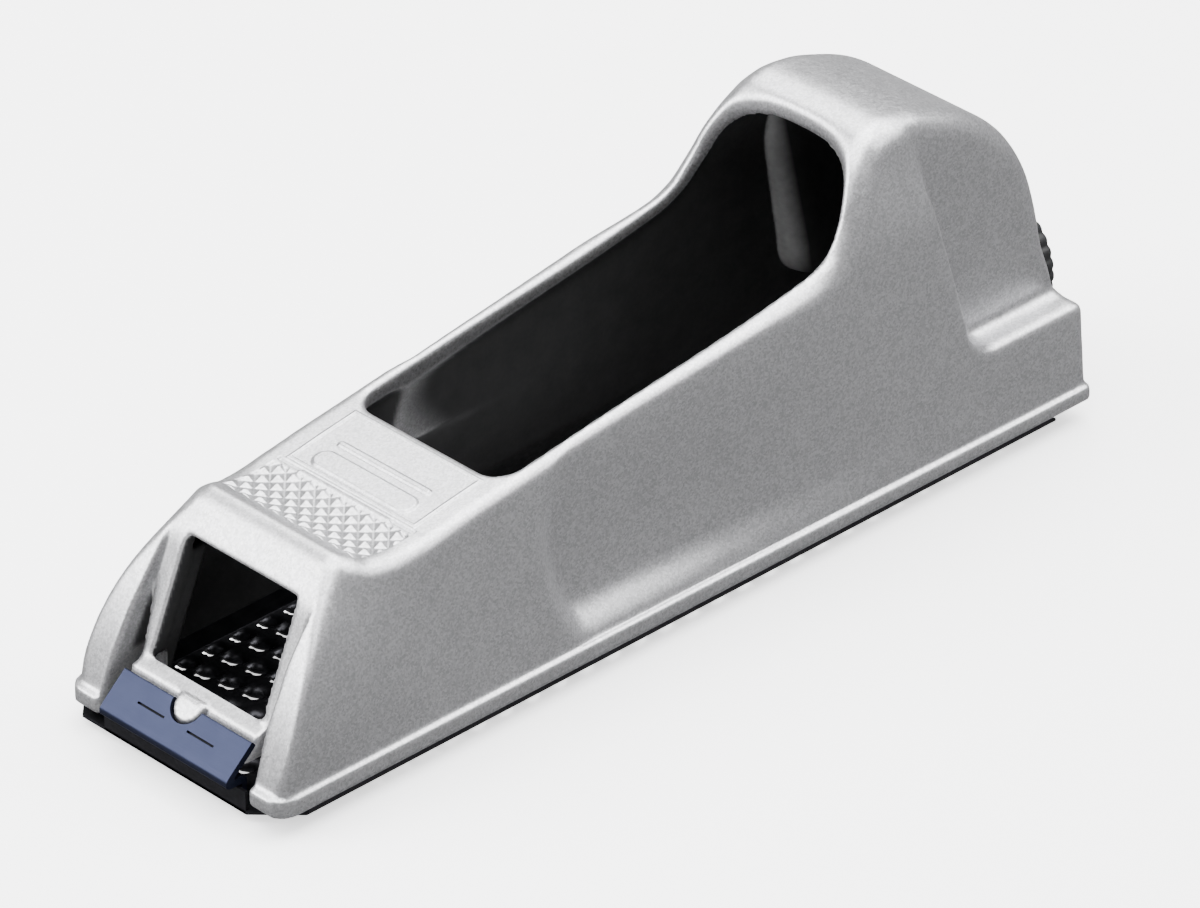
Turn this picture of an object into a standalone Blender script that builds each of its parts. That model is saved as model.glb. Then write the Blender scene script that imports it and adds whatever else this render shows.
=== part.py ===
"""Perforated-rasp block plane: a die-cast body, a toothed blade held by a toe clip and a heel hook,
and a knob that draws the hook back to pull the blade tight.

Lengths in this file are millimetres. A station s is the distance back from the toe of the casting,
y is the distance from the centre plane, and z is the height above the bottom of the casting's rim.
Functions that make meshes turn them into metres, with the tooth tips at Z = 0 and the middle of the
whole tool at X = 0. The toe points to -X.
"""
import math

import bmesh
import bpy
from mathutils import Matrix, Vector

MM = 0.001
COLLECTION_NAME = "block_plane"

# Overall
BODY_LENGTH = 159.4  # casting, toe to heel
TOE_END = -1.6  # foremost point: the bend of the toe clip
HEEL_END = 163.4  # rearmost point: the back of the knob
MID_STATION = (TOE_END + HEEL_END) / 2
TIP_DROP = 3.0  # tooth tips below the casting's rim
GAP = 0.3  # between neighbouring pieces

# Casting, outside
RIM_HALF_WIDTH = 21.9
RIM_HEIGHT_TOE = 3.0
RIM_HEIGHT_HEEL = 2.4
RIM_CORNER = 3.2  # plan radius of the toe's corners
HEEL_CORNER = 1.0
WALL_FOOT = 21.0  # half-width of the side walls just above the rim
WALL_FOOT_Z = 3.0
REAR_WALL = 159.0
WALL = 2.3
NOSE_RADIUS = 62.0  # side view of the nose
NOSE_HEADING = math.radians(76)
NOSE_START = 0.2
# Deck: thumb rest, straight rise, then the hump; station and height
DECK_PROFILE = [
    (17.4, 29.5), (19.4, 30.5), (21.2, 29.9), (23.6, 28.7), (28.0, 28.2), (33.0, 28.6), (40.0, 29.7),
    (64.0, 33.0), (106.0, 38.9), (110.2, 40.6), (113.2, 44.2), (115.3, 48.4), (118.2, 52.3),
    (121.6, 54.7), (125.6, 55.5), (130.0, 54.9), (135.0, 53.4), (140.0, 51.4), (144.5, 48.7),
    (148.3, 45.4), (151.4, 41.4), (153.9, 36.6), (155.6, 31.0), (156.8, 25.0), (157.8, 17.5),
]
HUMP_START = 108.0
HUMP_CORNER = 3.4  # rounding along the top of the hump
HEEL_LEDGE = 15.6  # height of the step behind and beside the hump
STEP_STATION = 135.8  # where the side step starts, at STEP_STATION_Z
STEP_STATION_Z = 22.0
STEP_SLANT = 0.26
STEP_CORNER = 5.2
CORE_HALF_WIDTH = 15.4  # narrow rear part of the hump, at HEEL_LEDGE
CORE_LEAN = 0.07
CORE_FILLET = 1.8
CORE_EDGE = 4.0

# Palm opening in the deck
PALM_FRONT = 47.7
PALM_REAR = 120.4
PALM_HALF_WIDTH = 14.7
PALM_CORNER = 4.0
PALM_ARCH_START = 109.0

# Front window and its frame
WINDOW_HALF_WIDTH = 11.15
WINDOW_BOTTOM = 8.95
WINDOW_TOP = 25.4
FRAME_FOOT = (6.3, 8.5)  # station and height of the frame's front face, foot and head
FRAME_HEAD = (13.4, 25.4)
SILL_BACK = 7.0  # rear of the window's sill
POCKET_INNER = 12.7
POCKET_INNER_TOP = 14.0
POCKET_OUTER_TOP = 14.3
POCKET_OUTER_FOOT = 15.3
POCKET_HEAD_Z = 20.5
POCKET_DEPTH = 3.2

# Toe clip
CLIP_HALF_WIDTH = 12.9
CLIP_SHEET = 1.0
CLIP_TOP = (3.3, 7.8)
CLIP_BEND = (-0.95, 4.05)
CLIP_PIVOT = (1.3, 4.2)
NIB_RADIUS = 2.6

# Blade
BLADE_SHEET = 0.5
BLADE_PLATE_Z = -1.9  # underside of the plate
BLADE_HALF_WIDTH = 20.5
BLADE_FLAT_HALF_WIDTH = 19.6
BLADE_FLANGE_TOP = 2.1
BLADE_TOE = 0.5
BLADE_HEEL = 153.2
BLADE_LIP_TOP = 1.7
BLADE_LIP_HALF_WIDTH = 14.4
HEEL_LIP_HALF_WIDTH = 13.0
TOE_CORNERS = {-1: (6.0, 6.0), 1: (1.5, 1.5)}  # cut off the blade's toe: along the tool and across
TOOTH_FIRST = 3.9
TOOTH_PITCH = 5.095
TOOTH_COLUMNS = 28
TOOTH_ROWS = 10
TOOTH_SHEAR = 0.16  # how far a column leans towards the heel on the way across
TOOTH_DEPTH = 1.1

# Tension screw, hook and knob, on one axis
SCREW_Z = 14.2
SCREW_RADIUS = 2.5
SCREW_FRONT = 141.0
KNOB_RADIUS = 10.5
KNOB_FRONT = 159.9
KNOB_REAR = HEEL_END
KNOB_FLUTES = 32
KNOB_FLUTE_DEPTH = 0.5
HEX_RADIUS = 4.4  # screw head, across its corners
HEX_START = 161.4
WASHER_RADIUS = 6.0
WASHER_SEAT = 158.5  # floor of the seat sunk into the heel wall
HOOK_FRONT = 150.9
HOOK_SHEET = 1.5
HOOK_HALF_WIDTH = 9.0
HOOK_TOP = 20.5
NUT_THICKNESS = 3.2
NUT_HALF = 4.0

SPOT_FACE = 156.2  # inside face of the heel wall, around the screw
CHAMBER_HALF_WIDTH = 20.85
CHAMBER_TOP = 2.55


def at(s, y, z):
    return Vector(((s - MID_STATION) * MM, y * MM, (z + TIP_DROP) * MM))


def smooth(edge0, edge1, value):
    t = min(1.0, max(0.0, (value - edge0) / (edge1 - edge0)))
    return t * t * (3 - 2 * t)


def blend(a, b, t):
    return a + (b - a) * t


def cubic_through(points, value):
    """Smooth, overshoot-free curve through points that ascend in their first coordinate."""
    xs = [p[0] for p in points]
    ys = [p[1] for p in points]
    value = min(max(value, xs[0]), xs[-1])
    slopes = [(ys[i + 1] - ys[i]) / (xs[i + 1] - xs[i]) for i in range(len(xs) - 1)]
    i = max(j for j in range(len(slopes)) if xs[j] <= value)

    def tangent(k):
        if k == 0 or k == len(xs) - 1:
            return slopes[min(k, len(slopes) - 1)]
        before, after = slopes[k - 1], slopes[k]
        if before * after <= 0:
            return 0.0
        return 2 * before * after / (before + after)

    width = xs[i + 1] - xs[i]
    t = (value - xs[i]) / width
    a, b = ys[i], ys[i + 1]
    ta, tb = tangent(i) * width, tangent(i + 1) * width
    return (
        a * (2 * t**3 - 3 * t**2 + 1) + ta * (t**3 - 2 * t**2 + t)
        + b * (3 * t**2 - 2 * t**3) + tb * (t**3 - t**2)
    )


# ---------------------------------------------------------------- casting's form


def deck_height(s):
    """Height of the casting's top over the centre plane."""
    if s < DECK_PROFILE[0][0]:
        heading = math.asin(math.sin(NOSE_HEADING) - (s - NOSE_START) / NOSE_RADIUS)
        return NOSE_RADIUS * (math.cos(heading) - math.cos(NOSE_HEADING))
    return cubic_through(DECK_PROFILE, s)


def finger_hollow(s, z):
    """Depth of the shallow finger hollow in each side."""
    along = smooth(50.5, 57.5, s) * (1 - smooth(62.0, 130.0, s))
    up = smooth(3.2, 9.0, z) * (1 - 0.8 * smooth(12.0, 33.0, z))
    return 2.4 * along * up


def corner_inset(distance, radius):
    """How far a rounded plan corner stands in from the side, at a distance from the end face."""
    run = min(radius, max(0.0, distance))
    return radius - math.sqrt(radius**2 - (radius - run) ** 2)


def side_half_width(s, z):
    """Half-width of the casting's side wall."""
    nose = WALL_FOOT - 0.0125 * max(0.0, z - 6.0) ** 2
    lean = blend(0.156, 0.09, smooth(30.0, 105.0, s))
    body = WALL_FOOT - lean * max(0.0, z - WALL_FOOT_Z)
    half = blend(nose, body, smooth(13.0, 34.0, s)) - finger_hollow(s, z)
    return half - corner_inset(s, RIM_CORNER) - corner_inset(REAR_WALL - s, HEEL_CORNER)


def corner_radius(s):
    """Rounding between the side walls and the top."""
    front = blend(1.2, 1.6, smooth(0.0, 20.0, s))
    return blend(front, HUMP_CORNER, smooth(94.0, HUMP_START, s))


def core_rear(z):
    """Station of the hump's rear wall at height z."""
    wall = [(top, s) for s, top in reversed(DECK_PROFILE) if s > 125.0]
    return cubic_through(wall, z) + corner_inset(z - HEEL_LEDGE, 0.9)


def core_half_width(s, z):
    half = CORE_HALF_WIDTH - CORE_LEAN * (z - HEEL_LEDGE)
    half += corner_inset(z - HEEL_LEDGE, CORE_FILLET)
    return half - 0.8 * corner_inset(core_rear(z) - s, CORE_EDGE)


def half_ring(s, low_heights, inset, width_at, radius, top, rows):
    """Half section: points (y, z) from the bottom up one side to the edge of the flat top.

    low_heights are squeezed together where the section is too low for them.
    """
    bottom = low_heights[0]
    radius = max(0.4, min(radius - inset * 0.5, (top - bottom) / 3))
    shoulder = top - radius
    squeeze = min(1.0, 0.8 * (shoulder - bottom) / (low_heights[-1] - bottom))
    heights = [bottom + (z - bottom) * squeeze for z in low_heights]
    low = heights[-1]
    heights += [blend(low, shoulder, (i + 1) / rows) for i in range(rows)]
    ring = [(width_at(s, z) - inset, z) for z in heights]
    for angle in (30, 60, 90):
        turn = math.radians(angle)
        z = shoulder + radius * math.sin(turn)
        ring.append((width_at(s, z) - inset - radius * (1 - math.cos(turn)), z))
    return ring


# ---------------------------------------------------------------- mesh helpers


def new_object(name, mesh, collection):
    obj = bpy.data.objects.new(name, mesh)
    collection.objects.link(obj)
    if collection is cutters:
        obj.hide_render = True
        obj.display_type = "WIRE"
    return obj


def finish(bm, name, collection):
    bmesh.ops.recalc_face_normals(bm, faces=bm.faces)
    mesh = bpy.data.meshes.new(name)
    bm.to_mesh(mesh)
    bm.free()
    return new_object(name, mesh, collection)


def loft(name, rings, collection):
    """Closed body through rings of equally many points, with flat ends."""
    bm = bmesh.new()
    rows = [[bm.verts.new(p) for p in ring] for ring in rings]
    for before, after in zip(rows, rows[1:]):
        for i in range(len(before)):
            j = (i + 1) % len(before)
            bm.faces.new((before[i], before[j], after[j], after[i]))
    bm.faces.new(rows[0])
    bm.faces.new(rows[-1])
    return finish(bm, name, collection)


def station_loft(name, stations, half_section, collection):
    rings = []
    for s in stations:
        half = half_section(s)
        ring = [at(s, y, z) for y, z in half]
        ring += [at(s, -y, z) for y, z in reversed(half)]
        rings.append(ring)
    return loft(name, rings, collection)


def side_prism(name, outline, y0, y1, collection):
    """Outline of (station, height) points, extruded across the tool from y0 to y1."""
    return loft(name, [[at(s, y, z) for s, z in outline] for y in (y0, y1)], collection)


def plan_prism(name, outline, z0, z1, collection):
    """Outline of (station, y) points, extruded upwards from z0 to z1."""
    return loft(name, [[at(s, y, z) for s, y in outline] for z in (z0, z1)], collection)


def screw_axis_cutter(name, s0, s1, radius, sides=24):
    """Round cutter on the screw's axis."""
    rings = []
    for s in (s0, s1):
        ring = []
        for i in range(sides):
            turn = 2 * math.pi * (i + 0.5) / sides
            ring.append(at(s, radius * math.cos(turn), SCREW_Z + radius * math.sin(turn)))
        rings.append(ring)
    return loft(name, rings, cutters)


def arc(centre, radius, start, end, steps):
    points = []
    for i in range(steps + 1):
        turn = math.radians(blend(start, end, i / steps))
        points.append((centre[0] + radius * math.cos(turn), centre[1] + radius * math.sin(turn)))
    return points


def boolean(target, cutter, operation="DIFFERENCE"):
    modifier = target.modifiers.new(operation.lower(), "BOOLEAN")
    modifier.operation = operation
    modifier.solver = "EXACT"
    modifier.object = cutter


def bevel(obj, width, segments=2, angle=40.0):
    modifier = obj.modifiers.new("bevel", "BEVEL")
    modifier.width = width * MM
    modifier.segments = segments
    modifier.limit_method = "ANGLE"
    modifier.angle_limit = math.radians(angle)


def material(name, colour, metallic, roughness):
    made = bpy.data.materials.new(name)
    made.use_nodes = True
    shader = made.node_tree.nodes["Principled BSDF"]
    shader.inputs["Base Color"].default_value = (*colour, 1.0)
    shader.inputs["Metallic"].default_value = metallic
    shader.inputs["Roughness"].default_value = roughness
    return made


def paint(obj, made):
    obj.data.materials.clear()
    obj.data.materials.append(made)
    for polygon in obj.data.polygons:
        polygon.material_index = 0


def set_origin(obj, point):
    """Put the object's origin on its joint's axis, leaving its shape where it is."""
    obj.data.transform(Matrix.Translation(-point))
    obj.location = point


# ---------------------------------------------------------------- casting


def rim_outline():
    half = []
    half += arc((RIM_CORNER, RIM_HALF_WIDTH - RIM_CORNER), RIM_CORNER, 180, 90, 4)
    half += arc((BODY_LENGTH - HEEL_CORNER, RIM_HALF_WIDTH - HEEL_CORNER), HEEL_CORNER, 90, 0, 3)
    return half + [(s, -y) for s, y in reversed(half)]


def rim():
    rings = []
    for level in (0, 1):
        ring = []
        for s, y in rim_outline():
            top = blend(RIM_HEIGHT_TOE, RIM_HEIGHT_HEEL, s / BODY_LENGTH)
            ring.append(at(s, y, top * level))
        rings.append(ring)
    return loft("rim", rings, cutters)


def shell_section(inset):
    def section(s):
        top = deck_height(s) - inset
        lows = [0.0 if inset == 0 else -1.0, WALL_FOOT_Z]
        return half_ring(s, lows, inset, side_half_width, corner_radius(s), top, 7)

    return section


def core_section(inset):
    def section(s):
        top = deck_height(s) - inset
        lows = [9.7] + [HEEL_LEDGE + CORE_FILLET * lift for lift in (-0.06, 0.1, 0.3, 0.6, 1.0)]
        return half_ring(s, lows, inset, core_half_width, 4.0, top, 5)

    return section


SHELL_STATIONS = (
    [1.0, 2.0, 3.2, 5.0, 7.5, 10.5, 14.0, 17.0, 18.6, 19.4, 20.4, 22.0, 24.0, 28.0, 34.0, 44.0]
    + [50.5, 52.5, 54.5, 57.5, 66.0, 80.0, 94.0, 105.0, 108.5, 111.0, 112.6, 113.8, 115.0, 116.6]
    + [118.5, 121.0, 125.0, 130.0, 136.0, 142.0, 149.0, 155.3, 157.0, 158.0, 158.4, 158.8, REAR_WALL]
)
CAVITY_STATIONS = [s for s in SHELL_STATIONS if 3.0 < s < 155.0] + [155.2, REAR_WALL - WALL]
CORE_STATIONS = [
    124.0, 127.0, 130.0, 134.0, 138.0, 142.0, 145.5, 148.3, 150.4, 152.0, 153.2, 154.2, 155.0,
    155.8, 156.5, 157.1, 157.7,
]


def heel_step(name, grow):
    """Everything above the heel ledge and behind the slanted side step."""
    centre = (STEP_STATION + STEP_CORNER, STEP_STATION_Z - 1.2)
    outline = [(STEP_STATION - STEP_SLANT * 48.0 - grow, 70.0)]
    outline += arc(centre, STEP_CORNER + grow, 180, 270, 4)
    outline += [(170.0, HEEL_LEDGE - grow), (170.0, 70.0)]
    return side_prism(name, outline, -40.0, 40.0, cutters)


def palm_outline():
    half = arc((PALM_FRONT + PALM_CORNER, PALM_HALF_WIDTH + 0.4 - PALM_CORNER), PALM_CORNER, 180, 90, 4)
    half += [(75.0, PALM_HALF_WIDTH - 0.2), (96.0, PALM_HALF_WIDTH - 0.3), (105.0, PALM_HALF_WIDTH)]
    steps = 8
    for i in range(steps):
        turn = math.pi / 2 * i / steps
        along = math.sin(turn) ** (2 / 2.6)
        across = math.cos(turn) ** (2 / 2.6)
        half.append((blend(PALM_ARCH_START, PALM_REAR, along), (PALM_HALF_WIDTH + 0.2) * across))
    return half + [(PALM_REAR, 0.0)] + [(s, -y) for s, y in reversed(half)]


def frame_line(z, back):
    """Station of the window frame's front face at height z, moved back along the tool."""
    slope = (FRAME_HEAD[0] - FRAME_FOOT[0]) / (FRAME_HEAD[1] - FRAME_FOOT[1])
    return FRAME_FOOT[0] + slope * (z - FRAME_FOOT[1]) + back


def toe_recess():
    """Space in front of the window frame, between the two cheeks."""
    outline = [
        (frame_line(25.2, 0.0), 25.2), FRAME_FOOT, (9.4, FRAME_FOOT[1]), (9.4, -4.0), (-6.0, -4.0),
        (-6.0, 25.2),
    ]
    rings = []
    for side in (-1, 1):
        ring = []
        for s, z in outline:
            y = blend(POCKET_OUTER_FOOT, POCKET_OUTER_TOP, smooth(0.0, 25.0, z))
            ring.append(at(s, side * y, z))
        rings.append(ring)
    return loft("toe_recess", rings, cutters)


def pocket(side):
    """Deep slot between a cheek and the window frame, running out at its head."""
    foot_back = frame_line(7.0, POCKET_DEPTH)
    outline = [
        (frame_line(POCKET_HEAD_Z, 0.1), POCKET_HEAD_Z), (foot_back, 7.0), (foot_back, -4.0),
        (-6.0, -4.0), (-6.0, POCKET_HEAD_Z),
    ]
    rings = []
    for outer in (False, True):
        ring = []
        for s, z in outline:
            y = blend(POCKET_INNER, POCKET_INNER_TOP, smooth(7.0, POCKET_HEAD_Z, z))
            if outer:
                y = blend(POCKET_OUTER_FOOT, POCKET_OUTER_TOP, smooth(0.0, 25.0, z))
            ring.append(at(s, side * y, z))
        rings.append(ring)
    return loft("pocket", rings, cutters)


def clip_directions():
    dx = CLIP_TOP[0] - CLIP_BEND[0]
    dz = CLIP_TOP[1] - CLIP_BEND[1]
    length = math.hypot(dx, dz)
    return (dx / length, dz / length), (-dz / length, dx / length)


def crossbar():
    """Wedge below the window that the clip's plate lies on."""
    along, out = clip_directions()
    under = CLIP_SHEET + GAP
    head = (CLIP_TOP[0] - out[0] * under, CLIP_TOP[1] - out[1] * under)
    foot_z = 4.6
    reach = (head[1] - foot_z) / along[1]
    foot = (head[0] - along[0] * reach, foot_z)
    outline = [
        head, (head[0] + 0.3, CLIP_TOP[1] - 0.1), (FRAME_FOOT[0] + 0.4, FRAME_FOOT[1] + 0.1),
        (SILL_BACK + 0.3, 8.7), (SILL_BACK + 0.3, 4.4), (foot[0] + 0.5, 4.4), foot,
    ]
    return side_prism("crossbar", outline, -POCKET_INNER, POCKET_INNER, cutters)


def plate_point(centre, run, lift, y):
    """Point at run along the clip's plate and lift out of it, counted from centre."""
    along, out = clip_directions()
    s = centre[0] + along[0] * run + out[0] * lift
    z = centre[1] + along[1] * run + out[1] * lift
    return at(s, y, z)


def half_disc(name, centre, radius, head, lift0, lift1):
    """Half-round body on the clip's plate: round towards the toe, square at its head."""
    rings = []
    for lift in (lift0, lift1):
        ring = [plate_point(centre, head, lift, -radius)]
        for i in range(9):
            turn = math.pi * i / 8
            ring.append(
                plate_point(centre, -radius * math.sin(turn), lift, -radius * math.cos(turn))
            )
        ring.append(plate_point(centre, head, lift, radius))
        rings.append(ring)
    return loft(name, rings, cutters)


def nib():
    """Half-round nib on the crossbar that the clip's notch straddles."""
    centre = (CLIP_TOP[0] + 0.12, CLIP_TOP[1] + 0.06)
    return half_disc("nib", centre, NIB_RADIUS, 0.5, -2.15, 0.1)


def cavity_front():
    """Metal kept inside the nose: the window frame and the backs of the pockets."""
    frame = [
        (frame_line(40.0, WALL), 40.0), (frame_line(-4.0, WALL), -4.0), (-6.0, -4.0), (-6.0, 40.0),
    ]
    block = side_prism("frame_backing", frame, -30.0, 30.0, cutters)
    behind_pocket = POCKET_DEPTH + WALL
    for side in (-1, 1):
        outline = [
            (frame_line(POCKET_HEAD_Z + 2.0, WALL), POCKET_HEAD_Z + 2.0),
            (frame_line(7.0, behind_pocket), 7.0), (frame_line(7.0, behind_pocket), -4.0),
            (-6.0, -4.0), (-6.0, POCKET_HEAD_Z + 2.0),
        ]
        inner = side * (WINDOW_HALF_WIDTH + 0.1)
        wing = side_prism("pocket_backing", outline, inner, side * 30.0, cutters)
        boolean(block, wing, "UNION")
    return block


def box(name, s0, s1, y0, y1, z0, z1, collection):
    return side_prism(name, [(s0, z0), (s1, z0), (s1, z1), (s0, z1)], y0, y1, collection)


def body_casting():
    body = station_loft("body_casting", SHELL_STATIONS, shell_section(0.0), parts)
    boolean(body, heel_step("heel_step", 0.0))
    boolean(body, station_loft("core", CORE_STATIONS, core_section(0.0), cutters), "UNION")
    boolean(body, rim(), "UNION")
    boolean(body, toe_recess())

    cavity = station_loft("cavity", CAVITY_STATIONS, shell_section(WALL), cutters)
    boolean(cavity, heel_step("heel_backing", WALL))
    boolean(cavity, cavity_front())
    boolean(body, cavity)
    core_inside = [s - WALL for s in CORE_STATIONS]
    boolean(body, station_loft("core_cavity", core_inside, core_section(WALL), cutters))

    boolean(body, crossbar(), "UNION")
    boolean(body, nib(), "UNION")
    for side in (-1, 1):
        inner = side * (HOOK_HALF_WIDTH + GAP)
        rib = box("hook_guide", 145.0, REAR_WALL - 1.0, inner, inner + side * 1.6, 3.4, 14.5, cutters)
        boolean(body, rib, "UNION")
        boolean(body, pocket(side))
    boolean(body, plan_prism("palm_opening", palm_outline(), 20.0, 70.0, cutters))
    window = [(2.0, WINDOW_BOTTOM), (24.0, WINDOW_BOTTOM), (24.0, WINDOW_TOP), (2.0, WINDOW_TOP)]
    half = WINDOW_HALF_WIDTH
    boolean(body, side_prism("window", window, -half, half, cutters))
    boolean(body, box("behind_sill", SILL_BACK, 12.0, -half, half, 3.0, WINDOW_BOTTOM + 1.0, cutters))
    half = CHAMBER_HALF_WIDTH
    boolean(body, box("blade_chamber", 2.7, 156.4, -half, half, -1.0, CHAMBER_TOP, cutters))
    boolean(body, screw_axis_cutter("screw_hole", 154.0, 165.0, SCREW_RADIUS + GAP, 16))
    boolean(body, screw_axis_cutter("spot_face", 150.0, SPOT_FACE, 5.6))
    boolean(body, screw_axis_cutter("washer_seat", WASHER_SEAT, 165.0, WASHER_RADIUS + 0.4))
    return body


# ---------------------------------------------------------------- blade


def blade_columns():
    """Station of each line of the lattice where it crosses the centre plane."""
    return [TOOTH_FIRST + TOOTH_PITCH * i for i in range(TOOTH_COLUMNS + 1)]


def blade_line(station, lean):
    """Points of one line across the blade, for its underside and its upper side."""
    under, over = [], []
    flat = BLADE_FLAT_HALF_WIDTH
    top = BLADE_PLATE_Z + BLADE_SHEET
    edge = BLADE_HALF_WIDTH
    bend = [(edge, BLADE_FLANGE_TOP), (edge, BLADE_PLATE_Z + 0.9), (edge - 0.3, BLADE_PLATE_Z + 0.25)]
    inner = [
        (edge - BLADE_SHEET, BLADE_FLANGE_TOP), (edge - BLADE_SHEET, top + 0.45), (edge - 0.65, top + 0.1),
    ]
    rows = [flat - 2 * flat * j / (2 * TOOTH_ROWS) for j in range(2 * TOOTH_ROWS + 1)]
    for y, z in bend + [(y, BLADE_PLATE_Z) for y in rows] + [(-y, z) for y, z in reversed(bend)]:
        under.append(at(station - lean * y, y, z))
    for y, z in inner + [(y, top) for y in rows] + [(-y, z) for y, z in reversed(inner)]:
        over.append(at(station - lean * y, y, z))
    return under, over


def tooth_ring(line, j):
    """The four corners of a tooth's hole; the two at the heel side are pressed down."""
    step = BLADE_FLAT_HALF_WIDTH / TOOTH_ROWS
    y = BLADE_FLAT_HALF_WIDTH - step * (j + 1)
    s = TOOTH_FIRST + TOOTH_PITCH * (line + 0.5) - TOOTH_SHEAR * y
    half_x, half_y = TOOTH_PITCH * 0.30, step * 0.62
    return [
        (s - half_x, y + half_y * 0.75, 0.0), (s - half_x, y - half_y * 0.75, 0.0),
        (s + half_x, y - half_y, -TOOTH_DEPTH), (s + half_x, y + half_y, -TOOTH_DEPTH),
    ]


def toe_corner(side):
    """Cutter for one slanted corner at the blade's toe."""
    along, across = TOE_CORNERS[side]
    spare = 1.0
    edge = BLADE_HALF_WIDTH + spare
    outline = [
        (BLADE_TOE - spare, side * (BLADE_HALF_WIDTH - across - spare * across / along)),
        (BLADE_TOE - spare, side * edge),
        (BLADE_TOE + along + spare * along / across, side * edge),
    ]
    return plan_prism("toe_corner", outline, BLADE_PLATE_Z - 3.0, BLADE_FLANGE_TOP + 3.0, cutters)


def blade():
    bm = bmesh.new()
    lines = [(BLADE_TOE, 0.0)]
    lines += [(s, TOOTH_SHEAR) for s in blade_columns()]
    lines += [(BLADE_HEEL, 0.0)]
    sheets = [[], []]
    for station, lean in lines:
        for sheet, points in zip(sheets, blade_line(station, lean)):
            sheet.append([bm.verts.new(p) for p in points])
    margin = 3  # bend points before the flat rows
    last = len(lines) - 2

    def strip(sheet, i, j):
        bm.faces.new((sheet[i][j], sheet[i][j + 1], sheet[i + 1][j + 1], sheet[i + 1][j]))

    for i in range(len(lines) - 1):
        toothed = 0 < i < last
        rows = len(sheets[0][i]) - 1
        cells = []
        if toothed:
            cells = list(range(margin, margin + 2 * TOOTH_ROWS, 2))
        covered = {j + k for j in cells for k in (0, 1)}
        for j in range(rows):
            if j not in covered:
                for sheet in sheets:
                    strip(sheet, i, j)
        for j in cells:
            corners = tooth_ring(i - 1, j - margin)
            rings = []
            for sheet, base in zip(sheets, (BLADE_PLATE_Z, BLADE_PLATE_Z + BLADE_SHEET)):
                a, b, c, d = [bm.verts.new(at(s, y, base + z)) for s, y, z in corners]
                near, far = sheet[i], sheet[i + 1]
                bm.faces.new((near[j], near[j + 1], a))
                bm.faces.new((near[j + 1], b, a))
                bm.faces.new((near[j + 1], near[j + 2], b))
                bm.faces.new((near[j + 2], far[j + 2], c, b))
                bm.faces.new((far[j + 2], far[j + 1], c))
                bm.faces.new((far[j + 1], d, c))
                bm.faces.new((far[j + 1], far[j], d))
                bm.faces.new((far[j], near[j], a, d))
                rings.append((a, b, c, d))
            for k in range(4):
                n = (k + 1) % 4
                bm.faces.new((rings[0][k], rings[0][n], rings[1][n], rings[1][k]))
    under, over = sheets
    for i in range(len(lines) - 1):
        for j in (0, -1):
            bm.faces.new((under[i][j], under[i + 1][j], over[i + 1][j], over[i][j]))
    for i in (0, -1):
        for j in range(len(under[0]) - 1):
            bm.faces.new((under[i][j], under[i][j + 1], over[i][j + 1], over[i][j]))
    obj = finish(bm, "blade", parts)
    for s0, s1 in ((-2.0, 3.4), (152.2, 160.0)):
        for side in (-1, 1):
            boolean(obj, box("flange_relief", s0, s1, side * 19.0, side * 24.0, -1.35, 5.0, cutters))
    for side in (-1, 1):
        boolean(obj, toe_corner(side))
    toe_lip = (BLADE_TOE, BLADE_LIP_HALF_WIDTH)
    heel_lip = (BLADE_HEEL - BLADE_SHEET, HEEL_LIP_HALF_WIDTH)
    for s0, width in (toe_lip, heel_lip):
        foot = BLADE_PLATE_Z + BLADE_SHEET * 0.5
        lip = box("lip", s0, s0 + BLADE_SHEET, -width, width, foot, BLADE_LIP_TOP, cutters)
        boolean(obj, lip, "UNION")
    return obj


# ---------------------------------------------------------------- toe clip


def clip_outline():
    """Side view of the clip: plate, front bend, web under the crossbar and hooked flange."""
    out = clip_directions()[1]
    under_top = (CLIP_TOP[0] - out[0] * CLIP_SHEET, CLIP_TOP[1] - out[1] * CLIP_SHEET)
    under_bend = (
        CLIP_BEND[0] - out[0] * CLIP_SHEET + 0.15, CLIP_BEND[1] - out[1] * CLIP_SHEET + 0.1,
    )
    return [
        CLIP_TOP, CLIP_BEND, (-1.4, 3.5), (TOE_END, 2.9), (-1.35, 2.3), (-0.8, 2.05), (1.3, 2.05),
        (1.3, -0.8), (2.2, -0.8), (2.3, 2.9), (1.9, 3.1), (-0.2, 3.1), under_bend, under_top,
    ]


def toe_clip():
    clip = side_prism("toe_clip", clip_outline(), -CLIP_HALF_WIDTH, CLIP_HALF_WIDTH, parts)
    boolean(clip, half_disc("notch", CLIP_TOP, NIB_RADIUS + GAP, 3.0, -2.0, 1.0))
    set_origin(clip, at(CLIP_PIVOT[0], 0.0, CLIP_PIVOT[1]))
    return clip


# ---------------------------------------------------------------- tension screw, hook and knob


def round_ring(s, radius, sides, flutes=0, depth=0.0, hexagon=False):
    ring = []
    for i in range(sides):
        turn = 2 * math.pi * i / sides
        r = radius
        if hexagon:
            r = radius * math.cos(math.pi / 6) / math.cos(turn % (math.pi / 3) - math.pi / 6)
        if flutes:
            r -= depth * (0.5 - 0.5 * math.cos(flutes * turn)) ** 2
        ring.append(at(s, r * math.cos(turn), SCREW_Z + r * math.sin(turn)))
    return ring


def on_screw_axis(obj):
    set_origin(obj, at(KNOB_FRONT, 0.0, SCREW_Z))
    return obj


def tension_screw():
    sides = 24
    steps = [
        (SCREW_FRONT, 2.0), (SCREW_FRONT + 0.6, SCREW_RADIUS), (154.7, SCREW_RADIUS), (154.7, 2.0),
        (156.1, 2.0), (156.1, SCREW_RADIUS), (HEX_START, SCREW_RADIUS),
    ]
    rings = [round_ring(s, r, sides) for s, r in steps]
    rings += [round_ring(s, HEX_RADIUS, sides, hexagon=True) for s in (HEX_START, HEX_START + 1.6)]
    return on_screw_axis(loft("tension_screw", rings, parts))


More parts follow.
